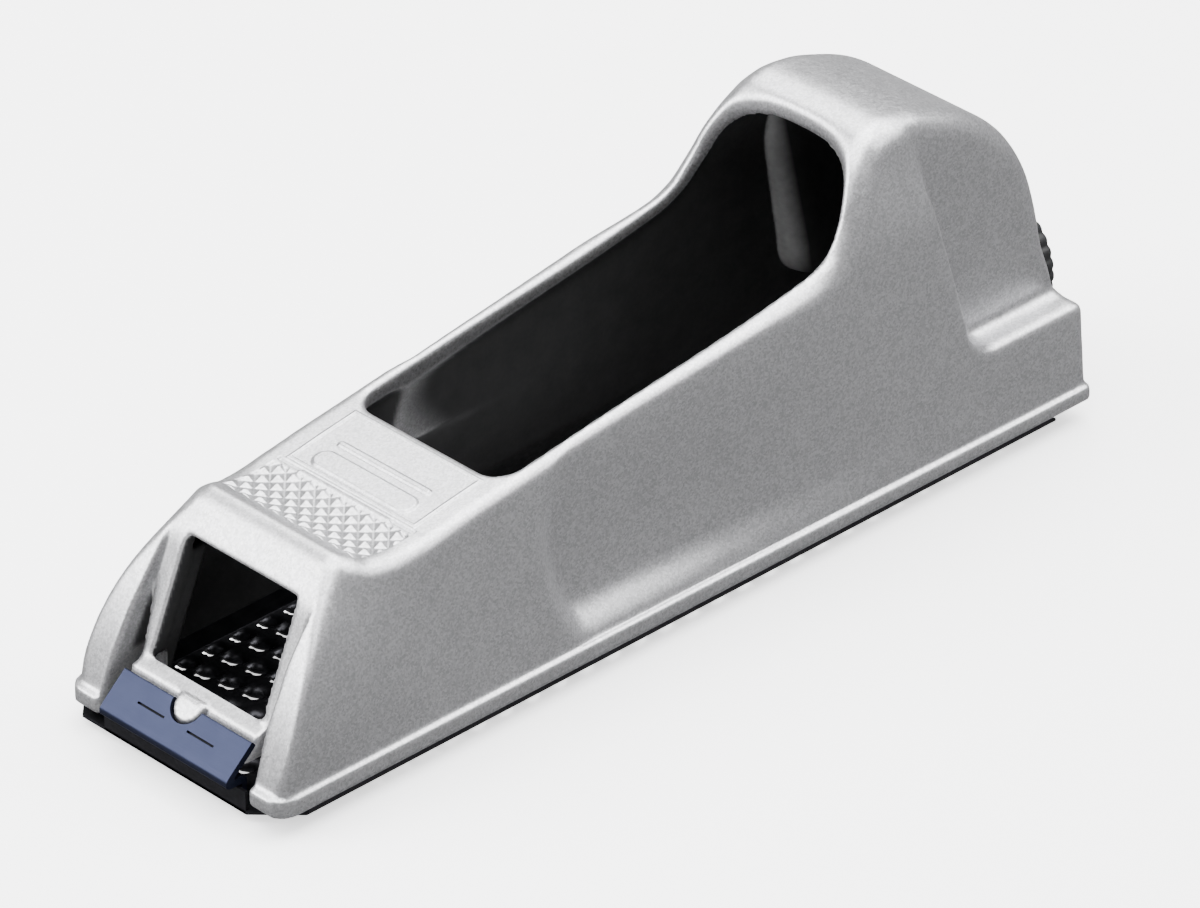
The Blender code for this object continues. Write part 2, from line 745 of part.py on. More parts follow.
def tension_knob():
    sides = KNOB_FLUTES * 4
    deep, shallow = KNOB_FLUTE_DEPTH, KNOB_FLUTE_DEPTH * 0.3
    rings = [
        round_ring(KNOB_FRONT, KNOB_RADIUS - 1.3, sides, KNOB_FLUTES, shallow),
        round_ring(KNOB_FRONT + 0.7, KNOB_RADIUS, sides, KNOB_FLUTES, deep),
        round_ring(KNOB_REAR - 1.0, KNOB_RADIUS, sides, KNOB_FLUTES, deep),
        round_ring(KNOB_REAR, KNOB_RADIUS - 1.6, sides, KNOB_FLUTES, shallow),
    ]
    knob = loft("tension_knob", rings, parts)
    hex_seat = HEX_START - GAP
    bore = loft(
        "knob_bore",
        [round_ring(s, SCREW_RADIUS + GAP, 24) for s in (KNOB_FRONT - 1, hex_seat)]
        + [round_ring(s, HEX_RADIUS + GAP * 1.3, 24, hexagon=True) for s in (hex_seat, KNOB_REAR + 1)],
        cutters,
    )
    boolean(knob, bore)
    return on_screw_axis(knob)


def ring_piece(name, s0, s1, inner, outer, open_angle):
    """Flat ring on the screw's axis; open_angle leaves a mouth for an E-clip."""
    if open_angle == 0:
        ring = loft(name, [round_ring(s, outer, 24) for s in (s0, s1)], parts)
        boolean(ring, loft("hole", [round_ring(s, inner, 24) for s in (s0 - 1, s1 + 1)], cutters))
        return on_screw_axis(ring)
    centre = (0.0, SCREW_Z)
    outline = arc(centre, outer, open_angle / 2 - 90, 270 - open_angle / 2, 20)
    outline += arc(centre, inner, 270 - open_angle / 2, open_angle / 2 - 90, 20)
    return on_screw_axis(loft(name, [[at(s, y, z) for y, z in outline] for s in (s0, s1)], parts))


def square_nut():
    nut_rear = HOOK_FRONT - GAP
    z0, z1 = SCREW_Z - NUT_HALF, SCREW_Z + NUT_HALF
    nut = box("square_nut", nut_rear - NUT_THICKNESS, nut_rear, -NUT_HALF, NUT_HALF, z0, z1, parts)
    bevel(nut, 0.3, 1)
    boolean(nut, screw_axis_cutter("nut_hole", 140.0, 156.0, SCREW_RADIUS + GAP))
    return nut


def heel_hook():
    """Plate that pulls the blade's heel lip back; two ears keep the nut from turning."""
    rear = HOOK_FRONT + HOOK_SHEET
    half = HOOK_HALF_WIDTH
    hook = box("heel_hook", HOOK_FRONT, rear, -half, half, -0.8, HOOK_TOP, parts)
    ear = NUT_HALF + GAP
    for side in (-1, 1):
        nut_front = HOOK_FRONT - NUT_THICKNESS
        lug = box(
            "ear", nut_front, HOOK_FRONT + 0.7, side * ear, side * (ear + 1.2), SCREW_Z - 3.0,
            SCREW_Z + 3.0, cutters,
        )
        boolean(hook, lug, "UNION")
    boolean(hook, screw_axis_cutter("hook_hole", 140.0, 156.0, SCREW_RADIUS + GAP))
    return hook


def build():
    aluminium = material("painted_casting", (0.62, 0.62, 0.63), 0.85, 0.42)
    body = body_casting()
    paint(body, aluminium)
    paint(blade(), material("black_oxide_steel", (0.02, 0.02, 0.022), 0.8, 0.4))
    paint(toe_clip(), material("blue_steel", (0.17, 0.20, 0.30), 0.7, 0.35))
    zinc = material("zinc_plated_steel", (0.55, 0.56, 0.58), 1.0, 0.35)
    for made in (heel_hook(), square_nut(), tension_screw()):
        paint(made, zinc)
    washer = (WASHER_SEAT + GAP, KNOB_FRONT - GAP)
    paint(ring_piece("knob_washer", *washer, SCREW_RADIUS + GAP, WASHER_RADIUS, 0), zinc)
    paint(ring_piece("retaining_ring", 155.0, 155.8, 2.3, 4.8, 70), zinc)
    paint(tension_knob(), material("black_plastic", (0.015, 0.015, 0.016), 0.0, 0.38))


for old in list(bpy.data.objects):
    bpy.data.objects.remove(old)
parts = bpy.data.collections.new(COLLECTION_NAME)
cutters = bpy.data.collections.new("cutters")
for made in (parts, cutters):
    bpy.context.scene.collection.children.link(made)
build()
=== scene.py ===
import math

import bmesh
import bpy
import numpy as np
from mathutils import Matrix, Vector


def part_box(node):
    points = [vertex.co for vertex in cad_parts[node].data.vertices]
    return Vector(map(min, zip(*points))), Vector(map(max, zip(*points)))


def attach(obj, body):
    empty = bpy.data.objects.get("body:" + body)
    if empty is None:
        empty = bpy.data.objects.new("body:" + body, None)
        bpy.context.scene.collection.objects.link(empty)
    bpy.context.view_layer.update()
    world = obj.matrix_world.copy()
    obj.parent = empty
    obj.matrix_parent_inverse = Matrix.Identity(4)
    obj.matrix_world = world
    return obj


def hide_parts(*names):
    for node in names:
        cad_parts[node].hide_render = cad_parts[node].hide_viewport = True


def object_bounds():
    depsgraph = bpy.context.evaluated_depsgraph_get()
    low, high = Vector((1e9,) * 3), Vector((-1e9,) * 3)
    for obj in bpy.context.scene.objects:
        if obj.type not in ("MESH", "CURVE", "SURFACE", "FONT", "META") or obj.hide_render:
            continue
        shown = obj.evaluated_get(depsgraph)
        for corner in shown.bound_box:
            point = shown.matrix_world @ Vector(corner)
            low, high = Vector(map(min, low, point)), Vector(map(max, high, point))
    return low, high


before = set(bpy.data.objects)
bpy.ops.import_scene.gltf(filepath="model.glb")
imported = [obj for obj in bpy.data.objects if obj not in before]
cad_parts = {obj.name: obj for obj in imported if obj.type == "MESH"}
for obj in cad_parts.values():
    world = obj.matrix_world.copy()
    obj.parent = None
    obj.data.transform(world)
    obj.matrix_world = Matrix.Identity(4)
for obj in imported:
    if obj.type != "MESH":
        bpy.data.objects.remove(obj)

# The looks of the perforated-rasp block plane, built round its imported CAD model.
#
# Lengths are millimetres until a mesh is made. A station s is the distance back from the toe of the
# casting, y the distance from the centre plane, and z the height above the casting's lower edge.
# The casting is one field of distances, negative inside the metal, that is turned into a mesh.

MM = 0.001
cad_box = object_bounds()

casting_low, casting_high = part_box("body_casting")
blade_low, blade_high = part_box("blade")
clip_low, clip_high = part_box("toe_clip")
knob_low, knob_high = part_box("tension_knob")
screw_low, screw_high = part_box("tension_screw")
washer_low, washer_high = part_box("knob_washer")


def station(x):
    return (x - casting_low.x) / MM


def height(z):
    return (z - casting_low.z) / MM


def at(s, y, z):
    return Vector((casting_low.x + s * MM, y * MM, casting_low.z + z * MM))


# ---- casting's sizes

LENGTH = station(casting_high.x)
RIM_HALF_WIDTH = casting_high.y / MM
RIM_HEIGHT_TOE = 3.0
RIM_HEIGHT_HEEL = 2.4
RIM_CORNER = 3.2
TOE_LIFT = 1.0  # rounding of the rim's lower toe corner
WALL_FOOT = 21.0
REAR_WALL = LENGTH - 0.4
HEEL_CORNER = 1.0  # plan rounding at the heel
WALL = 2.3
NOSE_CENTRE = (60.36, -15.0)
NOSE_RADIUS = 62.0
NOSE_END = 24.0
RIDGE_HEIGHT = 30.5
# Side view of the deck behind the front ridge, over the hump and down its rear
DECK_PROFILE = [
    (19.3, 30.5), (21.2, 29.8), (23.6, 28.7), (28.0, 28.2), (33.0, 28.6), (40.0, 29.7), (64.0, 33.0),
    (106.0, 38.9), (110.2, 40.6), (113.2, 44.2), (115.3, 48.4), (118.2, 52.3), (121.6, 54.7),
    (125.6, 55.4), (130.0, 54.9), (135.0, 53.4), (140.0, 51.4), (144.5, 48.7), (148.3, 45.4),
    (151.4, 41.4), (153.9, 36.6), (155.6, 31.0), (156.8, 25.0), (157.8, 17.5),
]
HUMP_CORNER = 3.4  # rounding along the top of the hump
HEEL_LEDGE = 15.6
STEP_STATION = 135.8
STEP_HEIGHT = 22.0
STEP_SLANT = 0.26
STEP_CORNER = 5.2
CORE_HALF_WIDTH = 15.0
CORE_LEAN = 0.03
CORE_FILLET = 1.8

PALM_FRONT = 47.7
PALM_REAR = 120.4
PALM_HALF_WIDTH = 14.6
PALM_CORNER = 4.0
PALM_ARCH_START = 109.0
PALM_ARCH_POWER = 2.6
PALM_CUT_FLOOR = 20.0

WINDOW_HALF_WIDTH = 11.15
WINDOW_BOTTOM = 8.95
WINDOW_TOP = 25.4
WINDOW_CUT = (2.0, 24.0)  # stations that the window's cut runs through
FRAME_FOOT = (6.3, 8.5)
FRAME_HEAD = (13.4, 25.4)
FRAME_SLOPE = (FRAME_HEAD[0] - FRAME_FOOT[0]) / (FRAME_HEAD[1] - FRAME_FOOT[1])
FRAME_COSINE = 1 / math.hypot(1, FRAME_SLOPE)
CHEEK_TOP = 14.3
CHEEK_FOOT = 15.3
POCKET_INNER = 12.9
POCKET_INNER_TOP = 14.6
POCKET_HEAD = 20.5
SILL_BACK = 7.0  # rear of the window's sill
SILL_CUT = 6.0  # length of the space cleared behind the sill
SILL_CUT_HEIGHTS = (3.0, 10.0)
POCKET_DEPTH = 3.2
RECESS_REAR = 9.4

PLATE_TOP = (3.3, 7.8)  # upper edge of the clip's plate, station and height
PLATE_BEND = (-0.95, 4.05)
PLATE_RUN = math.hypot(PLATE_TOP[0] - PLATE_BEND[0], PLATE_TOP[1] - PLATE_BEND[1])
PLATE_S = (PLATE_TOP[0] - PLATE_BEND[0]) / PLATE_RUN  # the plate's direction, from its bend upwards
PLATE_Z = (PLATE_TOP[1] - PLATE_BEND[1]) / PLATE_RUN
CLIP_SHEET = 1.0
GAP = 0.3
BAR_FOOT = 4.6  # the crossbar's lower edge at the toe
BAR_BASE = 4.4
NIB_RADIUS = 2.6
NIB_REACH = 1.2  # how far the nib stands above the plate's upper edge
NIB_SPAN = (-2.1, -0.05)  # its lower and upper face, counted out of the plate
MARK_RUN = -3.2  # the plate's pressed lines: place along the plate, counted from its upper edge
MARK_MIDDLE = 5.0  # distance of their middles from the centre plane
MARK_HALF_WIDTH = 0.17
MARK_HALF_LENGTH = 2.7
MARK_DEPTH = 0.45

BRIGHT_EDGE = 0.2  # silver left on the rounded edge of the pockets and the window
CHAMBER_HALF_WIDTH = 20.85
CHAMBER_TOP = 2.55
CHAMBER_ENDS = (2.7, 156.4)

SCREW_HEIGHT = height((knob_low.z + knob_high.z) / 2)
SCREW_RADIUS = 2.5
SCREW_HOLE_START = 154.0
SPOT_FACE_RADIUS = 5.6
SPOT_FACE = (150.0, 156.2)  # space cleared round the screw inside the heel wall
HOOK_HALF_WIDTH = 9.0
GUIDE_THICKNESS = 1.6  # ribs on both sides of the hook
GUIDE_ENDS = (145.0, 157.4)
GUIDE_HEIGHTS = (3.4, 14.5)
WASHER_SEAT = station(washer_low.x) - GAP  # floor of the seat in the heel wall
WASHER_SEAT_RADIUS = washer_high.y / MM + 0.4

KNURL_START, KNURL_END = 21.6, 32.2
KNURL_PITCH = 2.1
KNURL_DEPTH = 0.45
KNURL_HALF_WIDTH = 13.7
GROOVE_DEPTH = 0.35  # groove behind the knurl
PANEL_START, PANEL_END = 33.8, 46.2
PANEL_HALF_WIDTH = 13.4
PANEL_BORDER = 0.2
PANEL_RELIEF = 0.3
PANEL_BARS = ((32.6, 8.6, 0.5), (36.3, 8.0, 1.75), (40.0, 8.6, 0.5))  # station, half length, half width
DECK_LOWEST = 27.0

CELL = 0.5  # size of the casting's mesh

# Far places that outlines run out to, clear of the casting
AHEAD = -20.0
BEHIND = 190.0
BELOW = -9.0
ABOVE = 70.0


# ---- curves and outlines


def smooth(edge0, edge1, value):
    t = np.clip((value - edge0) / (edge1 - edge0), 0.0, 1.0)
    return t * t * (3 - 2 * t)


def blend(a, b, t):
    return a + (b - a) * t


def arc(centre, radius, start, end, steps):
    turns = np.radians(np.linspace(start, end, steps + 1))
    return [(centre[0] + radius * math.cos(t), centre[1] + radius * math.sin(t)) for t in turns]


def curve_through(points, values):
    """Heights of a smooth curve without overshoot, through points that ascend in their first value."""
    xs, ys = np.array(points).T
    widths = np.diff(xs)
    slopes = np.diff(ys) / widths
    before, after = slopes[:-1], slopes[1:]
    total = np.where(before + after == 0, 1.0, before + after)
    middle = np.where(before * after > 0, 2 * before * after / total, 0.0)
    tangents = np.concatenate([slopes[:1], middle, slopes[-1:]])
    i = np.clip(np.searchsorted(xs, values, side="right") - 1, 0, len(widths) - 1)
    t = (values - xs[i]) / widths[i]
    return (
        ys[i] * (2 * t**3 - 3 * t**2 + 1) + tangents[i] * widths[i] * (t**3 - 2 * t**2 + t)
        + ys[i + 1] * (3 * t**2 - 2 * t**3) + tangents[i + 1] * widths[i] * (t**3 - t**2)
    )


def outline_distance(outline, first, second):
    """Distance to a closed outline at every pair of two lines' values; negative inside it."""
    u, v = np.meshgrid(first, second, indexing="ij")
    nearest = np.full(u.shape, np.inf)
    inside = np.zeros(u.shape, bool)
    for (u0, v0), (u1, v1) in zip(outline, outline[1:] + outline[:1]):
        du, dv = u1 - u0, v1 - v0
        t = np.clip(((u - u0) * du + (v - v0) * dv) / (du * du + dv * dv), 0, 1)
        nearest = np.minimum(nearest, np.hypot(u - u0 - t * du, v - v0 - t * dv))
        if dv != 0:
            inside ^= ((v0 > v) != (v1 > v)) & (u < u0 + (v - v0) * du / dv)
    return np.where(inside, -nearest, nearest).astype(np.float32)


def both_inside(a, b, radius):
    """Field of what is inside a and b, with the edge between them rounded."""
    corner = np.hypot(np.maximum(a + radius, 0), np.maximum(b + radius, 0))
    return np.minimum(np.maximum(a, b), -radius) + corner


def either_inside(a, b, radius):
    """Field of what is inside a or b, with a fillet between them."""
    return -both_inside(-a, -b, radius)


def cut(a, tool, radius):
    return both_inside(a, -tool, radius)


def slab(value, ends):
    """Field of the values between two ends."""
    low, high = ends
    return np.abs(value - (low + high) / 2) - (high - low) / 2


# ---- casting's field


def grid_lines():
    """Places of the field's samples along s, y and z."""
    along = np.arange(-2 * CELL, LENGTH + 2.5 * CELL, CELL)
    across = np.arange(-RIM_HALF_WIDTH - 2.5 * CELL, RIM_HALF_WIDTH + 3 * CELL, CELL)
    up = np.arange(-2.3 * CELL, height(casting_high.z) + 3 * CELL, CELL)
    return along, across - across.mean(), up


def deck_outline():
    stations = np.arange(DECK_PROFILE[0][0], DECK_PROFILE[-1][0], 0.4)
    heights = curve_through(DECK_PROFILE, stations)
    far = 30.0
    outline = [(-far, RIDGE_HEIGHT)]
    outline += list(zip(stations, heights))
    outline += [DECK_PROFILE[-1], (158.1, 16.3), (158.7, HEEL_LEDGE), (LENGTH + far, HEEL_LEDGE)]
    return outline + [(LENGTH + far, -far), (-far, -far)]


def finger_hollow(s, z):
    """Depth of the shallow hollow in each side; its front edge bows forward at mid-height."""
    front = 51.2 + 0.036 * np.maximum(z - 20, 0) ** 2 + 0.0185 * np.maximum(20 - z, 0) ** 2
    along = smooth(front - 0.4, front + 4.6, s) * (1 - smooth(64.0, 131.0, s))
    up = smooth(2.6, 8.6, z) * (1 - 0.8 * smooth(11.0, 33.0, z))
    return 2.8 * along * up


def side_half_width(s, z):
    nose = WALL_FOOT - 0.0125 * np.maximum(0, z - 6.0) ** 2
    lean = blend(0.156, 0.09, smooth(30.0, 105.0, s))
    body = WALL_FOOT - lean * np.maximum(0, z - RIM_HEIGHT_TOE)
    shoulder = 2.6 * smooth(38.0, 55.0, z) * smooth(106.0, 122.0, s)
    return blend(nose, body, smooth(13.0, 34.0, s)) - finger_hollow(s, z) - shoulder


def top_corner_radius(s, z):
    """Rounding between the side walls and the deck or hump."""
    front = blend(1.1, 1.6, smooth(0.0, 20.0, s))
    hump = blend(front, HUMP_CORNER, smooth(92.0, 108.0, s))
    return blend(0.9, hump, smooth(17.0, 25.0, z) + smooth(40.0, 20.0, s)).clip(0.9, HUMP_CORNER)


def step_outline():
    """Everything above the heel ledge and behind the slanted side step, in side view."""
    centre = (STEP_STATION + STEP_CORNER, HEEL_LEDGE + STEP_CORNER)
    head = STEP_STATION - STEP_SLANT * (ABOVE - STEP_HEIGHT)
    corner = arc(centre, STEP_CORNER, 180, 270, 12)
    return [(head, ABOVE)] + corner + [(BEHIND, HEEL_LEDGE), (BEHIND, ABOVE)]


def palm_outline():
    half = arc((PALM_FRONT + PALM_CORNER, PALM_HALF_WIDTH - PALM_CORNER), PALM_CORNER, 180, 90, 10)
    for turn in np.linspace(0, math.pi / 2, 24)[:-1]:
        along = math.sin(turn) ** (2 / PALM_ARCH_POWER)
        across = math.cos(turn) ** (2 / PALM_ARCH_POWER)
        half.append((blend(PALM_ARCH_START, PALM_REAR, along), PALM_HALF_WIDTH * across))
    return half + [(PALM_REAR, 0.0)] + [(s, -y) for s, y in reversed(half)]


def rim_outline():
    middle = RIM_HALF_WIDTH - RIM_CORNER
    half = arc((RIM_CORNER, middle), RIM_CORNER, 180, 90, 10)
    half += arc((LENGTH - HEEL_CORNER, RIM_HALF_WIDTH - HEEL_CORNER), HEEL_CORNER, 90, 0, 6)
    return half + [(s, -y) for s, y in reversed(half)]


def plate_frame(s, z):
    """Distance up the clip's plate and out of it, counted from its upper edge."""
    ds, dz = s - PLATE_TOP[0], z - PLATE_TOP[1]
    return ds * PLATE_S + dz * PLATE_Z, dz * PLATE_S - ds * PLATE_Z


def under_plate(depth):
    """Station and height straight through the plate from its upper edge."""
    return (PLATE_TOP[0] + PLATE_Z * depth, PLATE_TOP[1] - PLATE_S * depth)


def crossbar_outline():
    """Wedge under the window that the clip's plate lies on."""
    head = under_plate(CLIP_SHEET + GAP)
    foot = (head[0] - PLATE_S * (head[1] - BAR_FOOT) / PLATE_Z, BAR_FOOT)
    back = SILL_BACK + 0.3
    return [
        head, (head[0] + 0.3, PLATE_TOP[1] + 0.1), (FRAME_FOOT[0] - 0.2, FRAME_FOOT[1] + 0.1),
        (FRAME_FOOT[0] + 0.4, WINDOW_BOTTOM), (back, WINDOW_BOTTOM), (back, BAR_BASE),
        (foot[0] + 0.5, BAR_BASE), foot,
    ]


def frame_line(z, back=0.0):
    """Station of the window frame's sloping front at a height, moved back."""
    return FRAME_FOOT[0] + FRAME_SLOPE * (z - FRAME_FOOT[1]) + back


def recess_outline():
    """What is cleared in front of the window frame, between the cheeks, in side view."""
    head = 34.0
    return [
        (frame_line(head), head), FRAME_FOOT, (RECESS_REAR, FRAME_FOOT[1]), (RECESS_REAR, BELOW),
        (AHEAD, BELOW), (AHEAD, head),
    ]


def pocket_outline():
    """The slots on both sides of the window frame, in side view."""
    knee = 7.0
    rear = frame_line(knee, POCKET_DEPTH)
    return [
        (frame_line(POCKET_HEAD, 0.1), POCKET_HEAD), (rear, knee), (rear, BELOW), (AHEAD, BELOW),
        (AHEAD, POCKET_HEAD),
    ]


def casting_fields(along, across, up):
    """The casting's field, and that of the space inside it."""
    s = along[:, None, None].astype(np.float32)
    y = across[None, :, None].astype(np.float32)
    z = up[None, None, :].astype(np.float32)
    wide = np.abs(y)

    def side_view(outline):
        return outline_distance(outline, along, up)[:, None, :]

    def plan_view(outline):
        return outline_distance(outline, along, across)[:, :, None]

    nose = np.hypot(s - NOSE_CENTRE[0], z - NOSE_CENTRE[1]) - NOSE_RADIUS
    nose = np.minimum(nose, NOSE_END - s)
    top = both_inside(nose, side_view(deck_outline()), 1.2)
    core_side = wide - (CORE_HALF_WIDTH - CORE_LEAN * (z - HEEL_LEDGE))
    step = both_inside(side_view(step_outline()), -core_side, CORE_FILLET)
    side = cut(wide - side_half_width(s, z), step, 1.3)
    side = both_inside(side, s - REAR_WALL, HEEL_CORNER)
    side = both_inside(side, -s, RIM_CORNER)
    body = both_inside(top, side, top_corner_radius(s, z))

    rim_top = blend(RIM_HEIGHT_TOE, RIM_HEIGHT_HEEL, s / LENGTH)
    rim = both_inside(plan_view(rim_outline()), z - rim_top, 0.4)
    body = either_inside(body, rim, 0.5)
    body = np.maximum(body, both_inside(-s, -z, TOE_LIFT))
    body = both_inside(body, -z, 0.3)

    cheek = wide - blend(CHEEK_FOOT, CHEEK_TOP, smooth(0.0, 25.0, z))
    body = cut(body, np.maximum(side_view(recess_outline()), cheek), 0.45)

    before_frame = (frame_line(z) - s) * FRAME_COSINE
    cavity = both_inside(top + WALL, side + WALL, 1.5)
    cavity = np.maximum(cavity, before_frame + WALL)
    behind_pocket = POCKET_DEPTH * FRAME_COSINE + WALL
    wing = np.maximum(-before_frame - behind_pocket, WINDOW_HALF_WIDTH + 0.1 - wide)
    wing = np.maximum(wing, z - POCKET_HEAD - 2.0)
    cavity = both_inside(cavity, -wing, 0.8)
    body = cut(body, cavity, 0.3)

    bar = np.maximum(side_view(crossbar_outline()), wide - POCKET_INNER)
    body = either_inside(body, bar, 0.3)
    run, lift = plate_frame(s, z)
    nib = np.hypot(np.minimum(run, 0), y) - NIB_RADIUS
    nib = both_inside(nib, slab(lift, NIB_SPAN), 0.35)
    body = np.minimum(body, np.maximum(nib, run - NIB_REACH))
    guide_inner = HOOK_HALF_WIDTH + GAP
    guide = slab(wide, (guide_inner, guide_inner + GUIDE_THICKNESS))
    guide = np.maximum(guide, np.maximum(slab(s, GUIDE_ENDS), slab(z, GUIDE_HEIGHTS)))
    body = either_inside(body, guide, 0.4)

    pocket_inner = blend(POCKET_INNER, POCKET_INNER_TOP, smooth(5.0, POCKET_HEAD + 1.0, z))
    pocket = np.maximum(side_view(pocket_outline()), np.maximum(pocket_inner - wide, cheek))
    body = cut(body, pocket, 0.35)
    palm = np.maximum(plan_view(palm_outline()), PALM_CUT_FLOOR - z)
    body = cut(body, palm, 0.75)
    window = both_inside(wide - WINDOW_HALF_WIDTH, slab(z, (WINDOW_BOTTOM, WINDOW_TOP)), 0.7)
    window_cut = np.maximum(window, slab(s, WINDOW_CUT))
    body = cut(body, window_cut, 0.4)
    behind_sill = np.maximum(slab(s, (SILL_BACK, SILL_BACK + SILL_CUT)), slab(z, SILL_CUT_HEIGHTS))
    behind_sill = np.maximum(behind_sill, wide - WINDOW_HALF_WIDTH)
    body = cut(body, behind_sill, 0.4)
    chamber = np.maximum(wide - CHAMBER_HALF_WIDTH, z - CHAMBER_TOP)
    chamber = np.maximum(chamber, slab(s, CHAMBER_ENDS))
    body = cut(body, chamber, 0.25)
    from_screw = np.hypot(y, z - SCREW_HEIGHT)
    body = cut(body, np.maximum(from_screw - SCREW_RADIUS - GAP, SCREW_HOLE_START - s), 0.3)
    body = np.maximum(body, -np.maximum(from_screw - SPOT_FACE_RADIUS, slab(s, SPOT_FACE)))
    body = np.maximum(body, -np.maximum(from_screw - WASHER_SEAT_RADIUS, WASHER_SEAT - s))
    # The second field marks where painted shade goes: the inside, and the pockets and the window's jambs
    # up to a silver edge.
    jambs = np.maximum(window_cut, WINDOW_BOTTOM + 0.5 - z)
    inside = np.minimum(np.minimum(cavity, chamber + 0.3), behind_sill)
    return body, np.minimum(inside, np.minimum(pocket, jambs) + BRIGHT_EDGE)


# ---- from fields to meshes


def surface_net(field, lines):
    """Points and quads of a field's zero surface, one point in each grid cell that it crosses."""
    inside = field < 0
    corners = [(i, j, k) for i in (0, 1) for j in (0, 1) for k in (0, 1)]

    def at_corner(array, corner):
        return array[tuple(slice(c, n - 1 + c) for c, n in zip(corner, array.shape))]

    count = sum(at_corner(inside, c).astype(np.int8) for c in corners)
    crossed = (count > 0) & (count < 8)
    cells = np.array(np.nonzero(crossed))
    number = np.full(crossed.shape, -1, np.int64)
    number[tuple(cells)] = np.arange(cells.shape[1])

    total = np.zeros((cells.shape[1], 3))
    hits = np.zeros(cells.shape[1])
    for a in corners:
        for axis in range(3):
            if a[axis]:
                continue
            b = tuple(c + (n == axis) for n, c in enumerate(a))
            at_a = tuple(cells[n] + a[n] for n in range(3))
            at_b = tuple(cells[n] + b[n] for n in range(3))
            here = inside[at_a] != inside[at_b]
            fa, fb = field[at_a][here].astype(float), field[at_b][here].astype(float)
            share = fa / (fa - fb)
            for n in range(3):
                start, end = lines[n][at_a[n][here]], lines[n][at_b[n][here]]
                total[here, n] += blend(start, end, share)
            hits[here] += 1
    points = total / hits[:, None]

    quads = []
    for axis in range(3):
        u, v = [n for n in range(3) if n != axis]
        if axis == 1:
            u, v = v, u
        low = [slice(1, -1)] * 3
        high = [slice(1, -1)] * 3
        low[axis], high[axis] = slice(0, -1), slice(1, None)
        starts, ends = inside[tuple(low)], inside[tuple(high)]
        edges = np.array(np.nonzero(starts != ends))
        outward = starts[tuple(edges)]
        edges[u] += 1
        edges[v] += 1
        around = []
        for du, dv in ((-1, -1), (0, -1), (0, 0), (-1, 0)):
            cell = edges.copy()
            cell[u] += du
            cell[v] += dv
            around.append(number[tuple(cell)])
        ring = np.array(around).T
        quads.append(np.where(outward[:, None], ring, ring[:, ::-1]))
    return points, np.concatenate(quads)


def sample(grids, lines, points):
    """Values of grids at points, by linear interpolation."""
    index, share = [], []
    for n in range(3):
        place = (points[:, n] - lines[n][0]) / (lines[n][1] - lines[n][0])
        place = np.clip(place, 0, len(lines[n]) - 1.001)
        index.append(place.astype(int))
        share.append(place - index[-1])
    found = np.zeros((len(points), len(grids)))
    for i in (0, 1):
        for j in (0, 1):
            for k in (0, 1):
                weight = (share[0] if i else 1 - share[0]) * (share[1] if j else 1 - share[1])
                weight = weight * (share[2] if k else 1 - share[2])
                place = (index[0] + i, index[1] + j, index[2] + k)
                for n, grid in enumerate(grids):
                    found[:, n] += weight * grid[place]
    return found


def new_object(name, mesh):
    obj = bpy.data.objects.new(name, mesh)
    bpy.context.scene.collection.objects.link(obj)
    return obj


def keep_finishes(mesh, numbers):
    """Notes which of a piece's finishes each face has, for dress to read."""
    mesh.attributes.new("finish", "INT", "FACE").data.foreach_set("value", numbers)


def shade_smooth(obj, angle=35.0):
    """Smooth shading, with edges sharper than angle kept."""
    obj.data.shade_smooth()
    if angle is not None:
        obj.data.set_sharp_from_angle(angle=math.radians(angle))


def skin(bm, rings, ends=True):
    """Faces between neighbouring rings of vertices, and over the first and the last ring."""
    for before, after in zip(rings, rings[1:]):
        for i in range(len(before)):
            j = (i + 1) % len(before)
            bm.faces.new((before[i], before[j], after[j], after[i]))
    if ends:
        bm.faces.new(rings[0])
        bm.faces.new(rings[-1])


def object_from(bm, name, angle=35.0):
    bmesh.ops.recalc_face_normals(bm, faces=bm.faces)
    mesh = bpy.data.meshes.new(name)
    bm.to_mesh(mesh)
    bm.free()
    obj = new_object(name, mesh)
    shade_smooth(obj, angle)
    return obj


# ---- casting


def ridge(position):
    """Height of evenly spaced ridges with V-shaped grooves, 0 to 1."""
    return 1 - np.abs(2 * (position % 1.0) - 1)


def deck_detail(s, y):
    """Height added to the deck: knurled thumb rest, groove, and the panel's border and bars."""
    diagonal = math.sqrt(0.5) / KNURL_PITCH
    pyramids = np.minimum(ridge((s + y) * diagonal), ridge((s - y) * diagonal))
    mask = smooth(KNURL_START, KNURL_START + 0.5, s) * (1 - smooth(KNURL_END - 0.5, KNURL_END, s))
    mask = mask * (1 - smooth(KNURL_HALF_WIDTH - 0.5, KNURL_HALF_WIDTH, np.abs(y)))
    detail = mask * KNURL_DEPTH * (smooth(0.0, 0.9, pyramids) - 0.7)
    within_width = 1 - smooth(PANEL_HALF_WIDTH, PANEL_HALF_WIDTH + 0.3, np.abs(y))
    groove = 1 - smooth(0.2, 0.5, np.abs(s - KNURL_END - 0.7))
    detail = detail - GROOVE_DEPTH * groove * within_width
    middle = (PANEL_START + PANEL_END) / 2
    from_border = np.maximum(np.abs(s - middle) - (PANEL_END - middle), np.abs(y) - PANEL_HALF_WIDTH + 0.9)
    detail = detail + PANEL_BORDER * (1 - smooth(0.12, 0.4, np.abs(from_border)))
    for bar_middle, half_length, half_width in PANEL_BARS:
        from_bar = np.hypot(s - bar_middle, np.maximum(np.abs(y) - half_length, 0.0)) - half_width
        detail = detail + PANEL_RELIEF * (1 - smooth(-0.28, 0.28, from_bar))
    return detail


